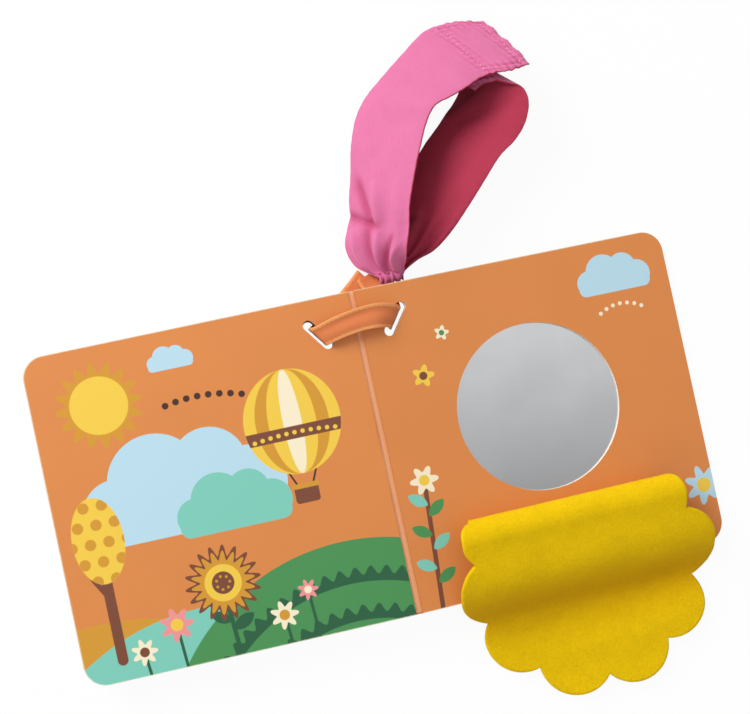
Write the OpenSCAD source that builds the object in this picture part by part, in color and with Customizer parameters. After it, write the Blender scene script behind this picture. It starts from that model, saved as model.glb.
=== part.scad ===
// Board book for a stroller, open at its last spread and lying on a table.
// A felt flower folds back from a round mirror in the last page.
// A cotton tape runs through slots beside the gutter and ties the book to a soft loop.
// X runs across the spread, Y up the page and Z up from the table.
// The origin is on the table, under the middle of the whole book's outline.

/* [Pages] */
// Width of a page, from the gutter to the fore-edge
page_w = 120; // [112:1:135]
// Height of a page
page_h = 119; // [110:1:135]
// Radius of the two page corners at the fore-edge
corner_r = 8; // [3:1:14]
// Thickness of the front cover
cover_t = 1.8; // [1.2:0.1:2.6]
// Thickness of one inner leaf
leaf_t = 1.8; // [1.2:0.1:2.6]
// Number of inner leaves
leaf_n = 4; // [2:1:5]
// Air between two boards, held open by the felt inside the book
leaf_gap = 0.8; // [0.4:0.1:1.2]
// Depth of the open gaps between the leaves, from the page edge
leaf_open = 12; // [6:1:20]
// Distance from the gutter line to each side of the pale gutter band
gutter_half = 0.7; // [0.4:0.1:1]
// Depth of the gutter band below the page
gutter_drop = 0.6; // [0.3:0.1:1]

/* [Back cover and mirror] */
// Thickness of the outer board of the back cover
board_t = 1.5; // [1.2:0.1:2.4]
// Thickness of the die-cut page that is glued over the mirror
ply_t = 1; // [0.7:0.1:1.6]
// Radius of the mirror window
mirror_r = 30.9; // [24:0.1:32]
// Distance of the window's centre from the gutter
mirror_x = 60.1; // [56:0.1:64]
// Distance of the window's centre from the foot of the page
mirror_foot = 63.7; // [60:0.1:66]
// Thickness of the mirror film
film_t = 0.5; // [0.3:0.1:0.8]
// Width of the film that is hidden all round under the page
film_margin = 4; // [2:0.5:6]

/* [Felt flower] */
// Thickness of the felt
felt_t = 1.6; // [1:0.1:2]
// Thickness of the felt where it is pressed flat between the boards
tab_t = 0.8; // [0.5:0.1:1]
// Width of the felt in its slit
tab_w = 76; // [60:1:80]
// Distance of the slit's middle from the gutter
tab_x = 61; // [58:0.5:63]
// Growth of the felt's width to each side, from the slit to the top of the roll
tab_flare = 4; // [0:0.5:5]
// Length of the felt that is glued between the boards
tab_l = 9; // [6:1:12]
// Distance of the slit from the foot of the page
slit_foot = 23.9; // [22:0.1:25]
// Reach of the scallops from the flower's centre
flower_r = 49; // [46:0.5:50]
// Distance from the flower's centre to the notches between its scallops
notch_r = 42; // [39:0.5:43]
// Distance from the slit to the flower's centre, along the felt
flower_v = 37; // [35:0.5:40]
// Distance of the flower's centre from the gutter
flower_x = 64.5; // [60:0.5:66]
// Radius of the roll where the felt turns over
roll_r = 4.9; // [4:0.1:6]
// Slope of the felt below the roll, in degrees
felt_fall = 27; // [24:1:32]

/* [Tape] */
// Width of the folded cotton tape
tape_w = 9; // [7:0.5:10]
// Thickness of the tape
tape_t = 0.7; // [0.5:0.1:0.9]
// Length of the slots in the pages, end to end
slot_l = 13.5; // [12:0.5:15]
// Width of the slots
slot_w = 3.8; // [3:0.1:5]
// Distance of the slots from the gutter, at their middle
slot_x = 14.3; // [12:0.1:17]
// Distance of the middle of the slots from the head of the page
slot_head = 13; // [11:0.1:15]
// Angle of the slots to the gutter
slot_angle = 36; // [25:1:45]
// Height of the tape's arch above the page
arch_h = 4.2; // [2:0.1:6]

/* [Loop] */
// Width of the cotton strap
strap_w = 32; // [26:0.5:36]
// Thickness of the strap in the middle of its width
strap_t = 2.2; // [1.4:0.1:2.4]
// Reach of the loop beyond the head of the pages
loop_reach = 90.5; // [84:0.5:110]
// Depth of the gathers where the strap is sewn to the tape
gather_depth = 0.9; // [0:0.1:1.2]
// Width of the hook and loop patches
patch_w = 22; // [16:0.5:24]
// Thickness of one patch
patch_t = 0.9; // [0.6:0.1:1.2]

/* [Fits] */
// Gap between cloth and what it lies against
cloth_gap = 0.3; // [0.2:0.05:0.4]
// Gap between two patches, and between a patch and the strap
patch_gap = 0.15; // [0.1:0.05:0.3]
// Gap round what is glued in a recess
glue_gap = 0.05; // [0.02:0.01:0.1]

/* [Hidden] */

round_fn = 96;
cut = 1;

// Heights: the book lies on the tape, which lifts its spine off the table.
lift = tape_t + cloth_gap;
block_t = leaf_n * leaf_t + (leaf_n - 1) * leaf_gap;
block_z = cover_t + leaf_gap;
page_z = lift + block_z + block_t;
hinge_z = page_z + felt_t / 2;
left_tilt = asin(lift / page_w);

// The back cover hangs from its hinge, and its outer corner touches the table.
inner_z = -felt_t / 2;
outer_z = inner_z - ply_t - board_t;
cover_start = gutter_half + 2 * cloth_gap;
back_slope = asin(hinge_z / norm([page_w, outer_z])) - atan(-outer_z / page_w);
head_y = page_h / 2;
mirror_y = mirror_foot - head_y;
slit_y = head_y - slit_foot;

// Slots beside the gutter, at the same place in every board.
slot_y = head_y - slot_head;

// The card strip of the spine bows out behind the block.
strip_t = 0.8;
strip_x = cover_start;
strip_low = lift + cloth_gap;
strip_top = hinge_z + outer_z - strip_x * tan(back_slope);
strip_r = (strip_top - strip_low - cloth_gap) / 2;
strip_z = strip_low + strip_r;

// Film and felt lie in recesses of the outer board.
film_r = mirror_r + film_margin;
film_z = inner_z - ply_t;
slit_w = felt_t + 2 * cloth_gap;
pocket_t = tab_t + 2 * glue_gap;

// The flower has ten round scallops, five of them below its centre line.
scallop_n = 10;
scallop_half = 180 / scallop_n;
scallop_d = (flower_r * flower_r - notch_r * notch_r) / (2 * (flower_r - notch_r * cos(scallop_half)));
scallop_r = flower_r - scallop_d;
notch_v = notch_r * sin(scallop_half);

// Side view of the felt: pairs of a length and the angle turned along it.
// It leaves the slit upright, leans over the mirror, rolls back and falls past the foot of the page.
tab_bend = 1;
felt_lean = 50;
lean_r = 4;
land_r = 14;
arc = PI / 180;
felt_rise = [
    [tab_l, 0],
    [tab_bend * 90 * arc, 90],
    [ply_t, 0],
    [lean_r * felt_lean * arc, -felt_lean],
    [roll_r * (90 + felt_lean + felt_fall) * arc, 90 + felt_lean + felt_fall]
];
felt_start = [-slit_y - tab_bend - tab_l, film_z - pocket_t / 2];
felt_top = walk(felt_rise, total(felt_rise));
flap_right = flower_x + flower_r;
table_at_right = (flap_right * sin(back_slope) - hinge_z) / cos(back_slope);
land_z = table_at_right + felt_t / 2 + cloth_gap;
felt_drop = felt_start.y + felt_top[0].y - land_z - land_r * (1 - cos(felt_fall));
felt_path = concat(felt_rise, [
    [felt_drop / sin(felt_fall), 0],
    [land_r * felt_fall * arc, -felt_fall],
    [flower_r, 0]
]);
slit_v = tab_l + tab_bend * 45 * arc;
centre_v = slit_v + flower_v;
droop_l = 36;

// Footprint of the whole book, which puts the origin under its middle.
foot_v = total([for (i = [0:len(felt_path) - 3]) felt_path[i]]);
foot_l = centre_v + scallop_d * sin(4 * scallop_half) + scallop_r - foot_v;
foot_y = felt_start.x + walk(felt_path, foot_v)[0].x - foot_l;
loop_y = head_y + loop_reach + strap_t / 4;
mid_x = (cos(back_slope) * page_w + sin(back_slope) * inner_z - page_w) / 2;
mid_y = (loop_y + foot_y) / 2;

// Columns and rings of the flap's mesh, from its middle to its edge.
flap_rings = 7;
flap_step = notch_v / 8;
flap_rows = floor((flower_v - 1) / flap_step);
fan_step = 3;

// Strap stations from its free end, down the left side, round the neck and up the right side.
// Each holds the lower rim's place, the direction and rise of the width, and the share of the width.
// The places are measured from the neck, and the farthest lies 90 from it.
neck_gap = 0.5;
neck = [16, head_y + neck_gap];
farthest = 90;
left_side = [
    [54.5, 88.0, 6.0, -66, 33, 0.90],
    [47.0, 89.5, 6.0, -68, 33, 1],
    [39.5, 90.0, 6.0, -66, 31, 1],
    [31.5, 88.5, 6.0, -60, 29, 1],
    [22.0, 82.0, 5.0, -48, 32, 1],
    [13.0, 75.5, 2.8, -36, 35, 1],
    [5.5, 69.5, 1.2, -27, 38, 1],
    [0.5, 63.0, 0.4, -24, 38, 1],
    [-2.5, 55.0, 0.3, -24, 41, 1],
    [-5.0, 45.5, 0.3, -27, 44, 0.98],
    [-7.5, 36.0, 0.3, -28, 45, 0.95],
    [-9.5, 26.5, 0.3, -25, 44, 0.91],
    [-13.0, 17.5, 0.4, -18, 41, 0.88],
    [-11.5, 10.0, 0.8, -11, 38, 0.72],
    [-7.5, 5.5, 2.4, -7, 30, 0.48]
];
neck_turn = [
    [-4.2, 2.9, 6.2, -4, 8, 0.30],
    [-3.9, 1.2, 5.5, -2, 2, 0.28],
    [-3.9, 1.2, 4.1, -2, 2, 0.28],
    [-3.8, 2.9, 3.4, 0, 4, 0.30]
];
right_side = [
    [-3.3, 6.5, 3.2, -2, 10, 0.46],
    [-2.0, 11.0, 2.6, -8, 16, 0.66],
    [0.5, 18.0, 1.6, -10, 22, 0.86],
    [6.0, 27.0, 0.9, -12, 26, 0.97],
    [14.0, 37.0, 0.6, -16, 29, 1],
    [22.0, 46.5, 0.5, -21, 29, 1],
    [30.0, 54.0, 0.5, -28, 30, 1],
    [37.0, 60.0, 0.5, -32, 36, 1],
    [41.5, 67.0, 0.5, -36, 41, 1],
    [41.5, 76.0, 0.8, -43, 38, 1]
];
// The strap closes where its right end lies under its left end, with the patches between.
overlap_from = 1.7;
overlap_to = 3.6;
overlap_step = 0.19;
patch_inset = 0.2;
under_d = strap_t + 2 * patch_t + 3 * patch_gap;
strap_left = scaled(left_side);
strap_stations = concat(
    strap_left,
    scaled(neck_turn),
    scaled(right_side),
    [for (u = [overlap_from:overlap_step:overlap_to]) under(u)]
);
strap_rings = 124;
strap_round = 24;
gather_n = 3.5;

// Tape stations at the middle of its width: tail, left slot, arch, right slot and tail.
slot_dir = 90 + slot_angle;
tape_z = tape_t / 2 + glue_gap;
bay_z = hinge_z + outer_z - slot_x * sin(back_slope);
tape_stations = [
    [8, head_y + 4.5, tape_z, slot_dir, 0, 1],
    [3.5, head_y + 0.5, tape_z, slot_dir, 0, 1],
    [-slot_x / 2, slot_y + 5, tape_z, slot_dir, 0, 1],
    [3 - slot_x, slot_y + 1.8, tape_z, slot_dir, 0, 1],
    [0.5 - slot_x, slot_y, tape_z + 0.6, slot_dir, 0, 1],
    [-slot_x, slot_y - 0.4, tape_z + 3, slot_dir, 0, 1],
    [-slot_x, slot_y - 0.5, page_z - 3, slot_dir, 0, 1],
    [-slot_x, slot_y - 0.8, page_z + 0.6, slot_dir, 0, 0.98],
    [1.6 - slot_x, slot_y - 0.6, page_z + 0.6 * arch_h, 120, 8, 0.92],
    [-6, slot_y + 1, page_z + 0.95 * arch_h, 106, 8, 0.92],
    [1.5, slot_y + 2.1, page_z + arch_h, 94, 4, 0.94],
    [8, slot_y + 2.2, page_z + 0.8 * arch_h, 78, 0, 1],
    [slot_x - 1.6, slot_y + 1.3, page_z + 0.2 * arch_h, 60, 0, 1],
    [slot_x, slot_y + 0.5, bay_z + 1.4, 90 - slot_angle, 0, 1],
    [slot_x + 0.2, slot_y + 0.4, bay_z - 1.2, 90 - slot_angle, 0, 1],
    [slot_x - 0.2, slot_y + 2.6, bay_z - 3.2, 40, 0, 1],
    [slot_x - 1.6, slot_y + 8, bay_z - 4.6, 24, 0, 1],
    [10, head_y + 1.4, 2.4 * tape_t + glue_gap, 18, 0, 1],
    [8.6, head_y + 5.5, 1.8 * tape_t + glue_gap, 20, 0, 1]
];
tape_rings = 90;
tape_round = 12;

function unit(v) = v / norm(v);
function total(segments) = [for (s = segments) 1] * [for (s = segments) s[0]];

// A point of a Catmull-Rom curve through a list of stations, at a place counted in stations.
function spline(list, u) =
    let (
        last = len(list) - 1,
        i = min(floor(u), last - 1),
        t = u - i,
        p0 = list[max(i - 1, 0)],
        p1 = list[i],
        p2 = list[i + 1],
        p3 = list[min(i + 2, last)]
    )
    0.5 * (2 * p1 + (p2 - p0) * t + (2 * p0 - 5 * p1 + 4 * p2 - p3) * t * t
        + (3 * p1 - p0 - 3 * p2 + p3) * t * t * t);

// A direction from its angle in plan and its rise.
function heading(plan, rise) = [cos(rise) * cos(plan), cos(rise) * sin(plan), sin(rise)];

// The middle of a band at a station, where the station is its rim (0) or its middle (1).
function middle(s, width, from) =
    [s.x, s.y, s.z] + heading(s[3], s[4]) * width * s[5] / 2 * (1 - from);

// Frames along a band: middle, width direction, face direction and share of the width.
function frames(stations, width, from, u0, u1, count) = [
    for (k = [0:count])
        let (
            last = len(stations) - 1,
            u = u0 + (u1 - u0) * k / count,
            s = spline(stations, u),
            d = heading(s[3], s[4]),
            ahead = middle(spline(stations, min(u + 0.05, last)), width, from),
            behind = middle(spline(stations, max(u - 0.05, 0)), width, from)
        )
        [middle(s, width, from), d, unit(cross(ahead - behind, d)), s[5]]
];

// Loop stations in the book's frame, and a station that lies under the strap's left end.
function scaled(list) = [
    for (s = list)
        let (k = (loop_reach - neck_gap) / farthest)
        [neck.x + s.x * k, neck.y + s.y * k, s.z, s[3], s[4], s[5]]
];
function under(u) =
    let (
        s = spline(strap_left, u),
        n = frames(strap_left, strap_w, 0, u, u, 1)[0][2] * under_d
    )
    [s.x - n.x, s.y - n.y, s.z - n.z, s[3], s[4], s[5]];

// A straight or round step of a side view, and the place and direction after a length of it.
function stride(h, k, d) =
    abs(k) < 0.001 ? d * [cos(h), sin(h)]
        : [sin(h + k * d) - sin(h), cos(h) - cos(h + k * d)] / (k * arc);
function walk(segments, v, i = 0, p = [0, 0], h = 0) =
    let (
        l = segments[i][0],
        k = segments[i][1] / l,
        end = i == len(segments) - 1,
        d = end ? v : min(v, l),
        q = p + stride(h, k, d)
    )
    v <= l || end ? [q, h + k * d] : walk(segments, v - l, i + 1, q, h + k * d);

// The felt's half width in its flower, its edge on one side, and the flower's radius at an angle.
function scallop_half_w(v) = max([
    for (k = [0:2])
        let (
            a = 2 * scallop_half * k,
            rest = scallop_r * scallop_r - pow(centre_v - scallop_d * sin(a) - v, 2)
        )
        rest > 0 ? scallop_d * cos(a) + sqrt(rest) : 0
]);
function tab_half_w(v) =
    let (t = max(0, min(1, (v - slit_v - tab_bend - ply_t) / (2 * roll_r))))
    tab_w / 2 + tab_flare * t * (2 - t);
function edge_u(v, side) = side * max(tab_half_w(v) + side * (tab_x - flower_x), scallop_half_w(v));
function scallop_radius(angle) =
    let (a = (angle + 10 * 360) % (2 * scallop_half), b = min(a, 2 * scallop_half - a))
    scallop_d * cos(b) + sqrt(scallop_r * scallop_r - pow(scallop_d * sin(b), 2));

// A point of the felt in the book's frame: u across, v along, side 1 or -1 for its faces.
function felt_point(u, v, side) =
    let (
        w = walk(felt_path, v),
        t = v < slit_v + tab_bend * 45 * arc ? tab_t : felt_t,
        y = felt_start.x + w[0].x - side * t / 2 * sin(w[1]),
        z = felt_start.y + w[0].y + side * t / 2 * cos(w[1]),
        x = flower_x + u,
        past = max(0, min(1, (-head_y - 1 - y) / droop_l)),
        droop = v < centre_v - flower_v / 2 ? 0 : past * past * (3 - 2 * past)
    )
    [
        x * cos(back_slope) + z * sin(back_slope) - mid_x,
        y - mid_y,
        hinge_z - x * sin(back_slope) + z * cos(back_slope) - droop * (flap_right - x) * sin(back_slope)
    ];

// The left stack lies almost flat, and the back cover slopes down from its hinge.
module on_left() translate([-mid_x, -mid_y, lift]) rotate([0, -left_tilt, 0]) children();
module on_right() translate([-mid_x, -mid_y, hinge_z]) rotate([0, back_slope, 0]) children();

// Outline of a board, with round corners at the fore-edge only, from x0 at the spine.
module board_outline(x0) {
    translate([x0, -head_y]) square([page_w - corner_r - x0, page_h]);
    translate([page_w - corner_r - cut, corner_r - head_y])
        square([corner_r + cut, page_h - 2 * corner_r]);
    for (s = [-1, 1])
        translate([page_w - corner_r, s * (head_y - corner_r)]) circle(corner_r, $fn = round_fn);
}

module slot_outline() {
    straight = slot_l - slot_w;
    translate([slot_x, slot_y]) rotate(-slot_angle) {
        square([slot_w, straight], center = true);
        for (s = [-1, 1]) translate([0, s * straight / 2]) circle(slot_w / 2, $fn = round_fn);
    }
}

module board(x0, z, t) {
    translate([0, 0, z]) linear_extrude(t) difference() {
        board_outline(x0);
        slot_outline();
    }
}

module front_cover() {
    color("#E08A46") on_left() mirror([1, 0, 0]) board(-gutter_half + cloth_gap, 0, cover_t);
}

// One glued block: leaves joined at the spine, open at the other three edges.
module page_block() {
    color("#F3E9DC") on_left() mirror([1, 0, 0]) translate([0, 0, block_z]) difference() {
        board(-gutter_half, 0, block_t);
        for (i = [1:leaf_n - 1])
            translate([0, 0, i * (leaf_t + leaf_gap) - leaf_gap]) linear_extrude(leaf_gap) difference() {
                translate([0, -head_y - cut]) square([page_w + cut, page_h + 2 * cut]);
                translate([-cut, leaf_open - head_y])
                    square([page_w - leaf_open + cut, page_h - 2 * leaf_open]);
            }
        translate([-gutter_half - cut, -head_y - cut, block_t - gutter_drop])
            cube([2 * gutter_half + cut, page_h + 2 * cut, gutter_drop + cut]);
    }
}

// Card strip of the spine: half a round, from the front cover up to the back cover.
module spine_strip() {
    color("#DD8340") translate([strip_x - mid_x, -mid_y, strip_z]) rotate([90, 0, 0])
        linear_extrude(page_h, center = true) difference() {
            circle(strip_r, $fn = round_fn);
            circle(strip_r - strip_t, $fn = round_fn);
            translate([-strip_r - cut, -strip_r - cut]) square([strip_r + cut, 2 * (strip_r + cut)]);
        }
}

// Outer board of the back cover, with recesses for the mirror film and the felt's tab.
module back_cover() {
    color("#E08A46") on_right() difference() {
        board(cover_start, outer_z, board_t);
        translate([mirror_x, mirror_y, film_z - film_t])
            cylinder(h = film_t + cut, r = film_r + cloth_gap, $fn = round_fn);
        translate([tab_x - tab_w / 2 - cloth_gap, felt_start.x - cloth_gap, film_z - pocket_t])
            cube([tab_w + 2 * cloth_gap, tab_l + tab_bend + slit_w / 2 + cloth_gap, pocket_t + cut]);
    }
}

// Printed page with the mirror window and the slit that the felt comes through.
module mirror_page() {
    color("#E08A46") on_right() difference() {
        board(cover_start, film_z, ply_t);
        translate([mirror_x, mirror_y, film_z - cut])
            cylinder(h = ply_t + 2 * cut, r = mirror_r, $fn = round_fn);
        translate([tab_x - tab_w / 2 - cloth_gap, -slit_y - slit_w / 2, film_z - cut])
            cube([tab_w + 2 * cloth_gap, slit_w, ply_t + 2 * cut]);
    }
}

module mirror_film() {
    color("#C9CBCC") on_right() translate([mirror_x, mirror_y, film_z - film_t])
        cylinder(h = film_t, r = film_r, $fn = round_fn);
}

// Felt flower: rows across the roll and a fan round the lower half of the flower.
module felt_flap() {
    last_v = centre_v;
    first_v = last_v - flap_rows * flap_step;
    tab_vs = [0, tab_l - 0.1, tab_l + 0.3, slit_v];
    rows = concat(tab_vs, [for (i = [0:flap_rows]) if (first_v + i * flap_step > slit_v + 0.4)
        first_v + i * flap_step]);
    across = 2 * flap_rings + 1;
    fan_n = 180 / fan_step;
    flat = concat(
        [for (v = rows, j = [-flap_rings:flap_rings])
            [abs(j) / flap_rings * edge_u(v, j < 0 ? -1 : 1), v]],
        [for (i = [1:fan_n - 1], j = [1:flap_rings])
            let (a = i * fan_step, r = scallop_radius(a) * j / flap_rings)
            [-r * cos(a), last_v + r * sin(a)]]
    );
    base = (len(rows) - 1) * across;
    fan0 = len(rows) * across;
    centre = base + flap_rings;
    function spoke(i, j) =
        j == 0 ? centre
            : i == 0 ? centre - j
                : i == fan_n ? centre + j
                    : fan0 + (i - 1) * flap_rings + j - 1;
    sheet = concat(
        [for (i = [0:len(rows) - 2], j = [0:across - 2], k = [0, 1])
            let (p = i * across + j)
            k == 0 ? [p, p + across, p + 1] : [p + 1, p + across, p + across + 1]],
        [for (i = [0:fan_n - 1]) [centre, spoke(i, 1), spoke(i + 1, 1)]],
        [for (i = [0:fan_n - 1], j = [1:flap_rings - 1], k = [0, 1])
            k == 0 ? [spoke(i, j), spoke(i, j + 1), spoke(i + 1, j)]
                : [spoke(i + 1, j), spoke(i, j + 1), spoke(i + 1, j + 1)]]
    );
    edge = concat(
        [for (i = [0:len(rows) - 1]) i * across],
        [for (i = [1:fan_n - 1]) spoke(i, flap_rings)],
        [for (i = [len(rows) - 1:-1:0]) i * across + across - 1],
        [for (j = [across - 2:-1:1]) j]
    );
    count = len(flat);
    color("#F5D816") polyhedron(
        points = concat(
            [for (p = flat) felt_point(p.x, p.y, 1)],
            [for (p = flat) felt_point(p.x, p.y, -1)]
        ),
        faces = concat(
            [for (f = sheet) f],
            [for (f = sheet) [f[0] + count, f[2] + count, f[1] + count]],
            [for (i = [0:len(edge) - 1], k = [0, 1])
                let (a = edge[i], b = edge[(i + 1) % len(edge)])
                k == 0 ? [a, a + count, b] : [b, a + count, b + count]]
        )
    );
}

// A band swept along frames. Its section is round at the rims, and a small power makes it flat.
module band(fr, width, thick, sides, power, offset = 0, depth = 0) {
    function pleat(s, across) =
        depth * 8 * (1 - s) * max(s - 0.3, 0) * sin(180 * gather_n * across + 70);
    last = len(fr) - 1;
    points = [
        for (f = fr, j = [0:sides - 1])
            let (
                a = 360 * (j + 0.5) / sides,
                face = sign(sin(a)) * pow(abs(sin(a)), power) * thick / 2
            )
            f[0] + f[1] * width * f[3] / 2 * cos(a)
                + f[2] * (face + offset + pleat(f[3], cos(a))) - [mid_x, mid_y, 0]
    ];
    walls = [
        for (i = [0:last - 1], j = [0:sides - 1], k = [0, 1])
            let (p = i * sides + j, q = i * sides + (j + 1) % sides)
            k == 0 ? [p, p + sides, q] : [q, p + sides, q + sides]
    ];
    polyhedron(
        points = points,
        faces = concat(
            walls,
            [[for (j = [0:sides - 1]) j]],
            [[for (j = [sides - 1:-1:0]) last * sides + j]]
        )
    );
}

module ribbon() {
    fr = frames(tape_stations, tape_w, 1, 0, len(tape_stations) - 1, tape_rings);
    color("#EC9450") band(fr, tape_w, tape_t, tape_round, 0.5);
}

module strap() {
    fr = frames(strap_stations, strap_w, 0, 0, len(strap_stations) - 1, strap_rings);
    color("#F27DB5") band(fr, strap_w, strap_t, strap_round, 0.8, 0, gather_depth);
}

// The patches follow the strap's left end, below its inner face.
module patch(step) {
    fr = frames(strap_left, strap_w, 0, overlap_from + patch_inset, overlap_to - patch_inset, 10);
    narrow = [for (f = fr) [f[0], f[1], f[2], 1]];
    offset = -strap_t / 2 - step * (patch_gap + patch_t) + patch_t / 2;
    band(narrow, patch_w, patch_t, tape_round, 0.3, offset);
}

module hook_patch() {
    color("#F6A6CB") patch(1);
}

module loop_patch() {
    color("#F6A6CB") patch(2);
}

front_cover();
page_block();
spine_strip();
back_cover();
mirror_page();
mirror_film();
felt_flap();
ribbon();
strap();
hook_patch();
loop_patch();
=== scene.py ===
"""Board book for a stroller, open at its last spread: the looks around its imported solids.

The boards, the mirror and the page block keep their solids and get printed or silvered finishes.
The felt flower, the tape, the strap, the patches and the spine card are cloth or card, and are built here
in the space of their solids. Sizes are in millimetres, and a mesh is turned into metres as it is made.
"""

from __future__ import annotations

import logging
import math
from dataclasses import dataclass
from enum import Enum
from typing import Callable, Sequence

import bpy
import numpy as np
from mathutils import Matrix, Vector

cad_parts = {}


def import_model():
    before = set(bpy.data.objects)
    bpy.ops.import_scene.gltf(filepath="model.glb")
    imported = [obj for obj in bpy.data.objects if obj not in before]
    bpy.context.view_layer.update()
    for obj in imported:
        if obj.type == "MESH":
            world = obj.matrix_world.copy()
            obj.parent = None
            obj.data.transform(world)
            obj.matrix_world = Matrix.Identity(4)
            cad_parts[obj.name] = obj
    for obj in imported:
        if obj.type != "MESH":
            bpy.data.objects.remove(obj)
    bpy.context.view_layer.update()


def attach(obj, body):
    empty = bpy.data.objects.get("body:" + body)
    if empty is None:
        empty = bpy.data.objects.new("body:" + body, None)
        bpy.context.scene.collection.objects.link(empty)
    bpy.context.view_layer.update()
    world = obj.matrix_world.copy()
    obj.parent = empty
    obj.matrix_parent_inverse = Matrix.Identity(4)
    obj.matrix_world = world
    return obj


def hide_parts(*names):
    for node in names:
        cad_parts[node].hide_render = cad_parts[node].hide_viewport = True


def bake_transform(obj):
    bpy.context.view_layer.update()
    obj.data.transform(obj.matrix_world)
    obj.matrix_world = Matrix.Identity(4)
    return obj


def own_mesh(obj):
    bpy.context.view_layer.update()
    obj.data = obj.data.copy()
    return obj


LOG = logging.getLogger("stroller_book")
MM = 0.001
Rgb = tuple[float, float, float]


def ink(red: float, green: float, blue: float) -> Rgb:
    """A colour written as 0 to 255, as the linear light that a shader takes."""

    def linear(value: float) -> float:
        """One channel, from its written value."""
        share = value / 255
        return share / 12.92 if share <= 0.04045 else ((share + 0.055) / 1.055) ** 2.4

    return linear(red), linear(green), linear(blue)


class Body(str, Enum):
    """The moving bodies of the book."""

    BLOCK = "block"
    FRONT = "front_cover"
    BACK = "back_cover"


class Slot(str, Enum):
    """The record's material slots."""

    BOARD = "printed_board"
    FELT = "yellow_felt"
    TAPE = "orange_tape"
    STRAP = "pink_cotton"
    PATCH = "hook_and_loop"


class Ink(Enum):
    """The print's flat colours."""

    ORANGE = ink(222, 137, 70)
    LIGHT_BLUE = ink(186, 221, 236)
    MINT = ink(126, 205, 186)
    GREEN = ink(72, 146, 82)
    DARK_GREEN = ink(38, 96, 62)
    BROWN = ink(124, 70, 48)
    DARK_BROWN = ink(66, 34, 26)
    YELLOW = ink(244, 204, 70)
    OCHRE = ink(214, 152, 44)
    CREAM = ink(250, 238, 205)
    PINK = ink(240, 150, 150)


# ---- shader maths


class Num:
    """A socket of a shader tree, with Python's operators for numbers."""

    def __init__(self, paint: Paint, socket: bpy.types.NodeSocket) -> None:
        """Keeps the tree and the socket."""
        self.paint = paint
        self.socket = socket

    def math(self, operation: str, *others: Num | float, clamp: bool = False) -> Num:
        """A Math node on this number.

        Args:
            operation: The Math node's operation.
            others: The second and third numbers.
            clamp: Whether the result stays between 0 and 1.

        Returns:
            The result.
        """
        values = {i: v for i, v in enumerate((self, *others))}
        return self.paint.node("ShaderNodeMath", {"operation": operation, "use_clamp": clamp}, values)

    def __add__(self, other: Num | float) -> Num:
        """Sum."""
        return self.math("ADD", other)

    def __radd__(self, other: float) -> Num:
        """Sum with a plain number first."""
        return self.math("ADD", other)

    def __sub__(self, other: Num | float) -> Num:
        """Difference."""
        return self.math("SUBTRACT", other)

    def __rsub__(self, other: float) -> Num:
        """Difference from a plain number."""
        return self.math("MULTIPLY_ADD", -1.0, other)

    def __mul__(self, other: Num | float) -> Num:
        """Product."""
        return self.math("MULTIPLY", other)

    def __rmul__(self, other: float) -> Num:
        """Product with a plain number first."""
        return self.math("MULTIPLY", other)

    def __truediv__(self, other: Num | float) -> Num:
        """Quotient."""
        return self.math("DIVIDE", other)

    def __pow__(self, other: float) -> Num:
        """Power."""
        return self.math("POWER", other)

    def sin(self) -> Num:
        """Sine."""
        return self.math("SINE")

    def cos(self) -> Num:
        """Cosine."""
        return self.math("COSINE")

    def size(self) -> Num:
        """Absolute value."""
        return self.math("ABSOLUTE")

    def smaller(self, other: Num | float) -> Num:
        """The smaller of two numbers."""
        return self.math("MINIMUM", other)

    def larger(self, other: Num | float) -> Num:
        """The larger of two numbers."""
        return self.math("MAXIMUM", other)

    def held(self) -> Num:
        """The number, kept between 0 and 1."""
        return self.math("ADD", 0.0, clamp=True)

    def under(self, limit: float, edge: float) -> Num:
        """1 where the number is below a limit and 0 above it, over a soft edge."""
        return self.math("MULTIPLY_ADD", -1.0 / edge, 0.5 + limit / edge, clamp=True)

    def over(self, limit: float, edge: float) -> Num:
        """1 where the number is above a limit and 0 below it, over a soft edge."""
        return self.math("MULTIPLY_ADD", 1.0 / edge, 0.5 - limit / edge, clamp=True)


Colour = Num | Rgb


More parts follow.
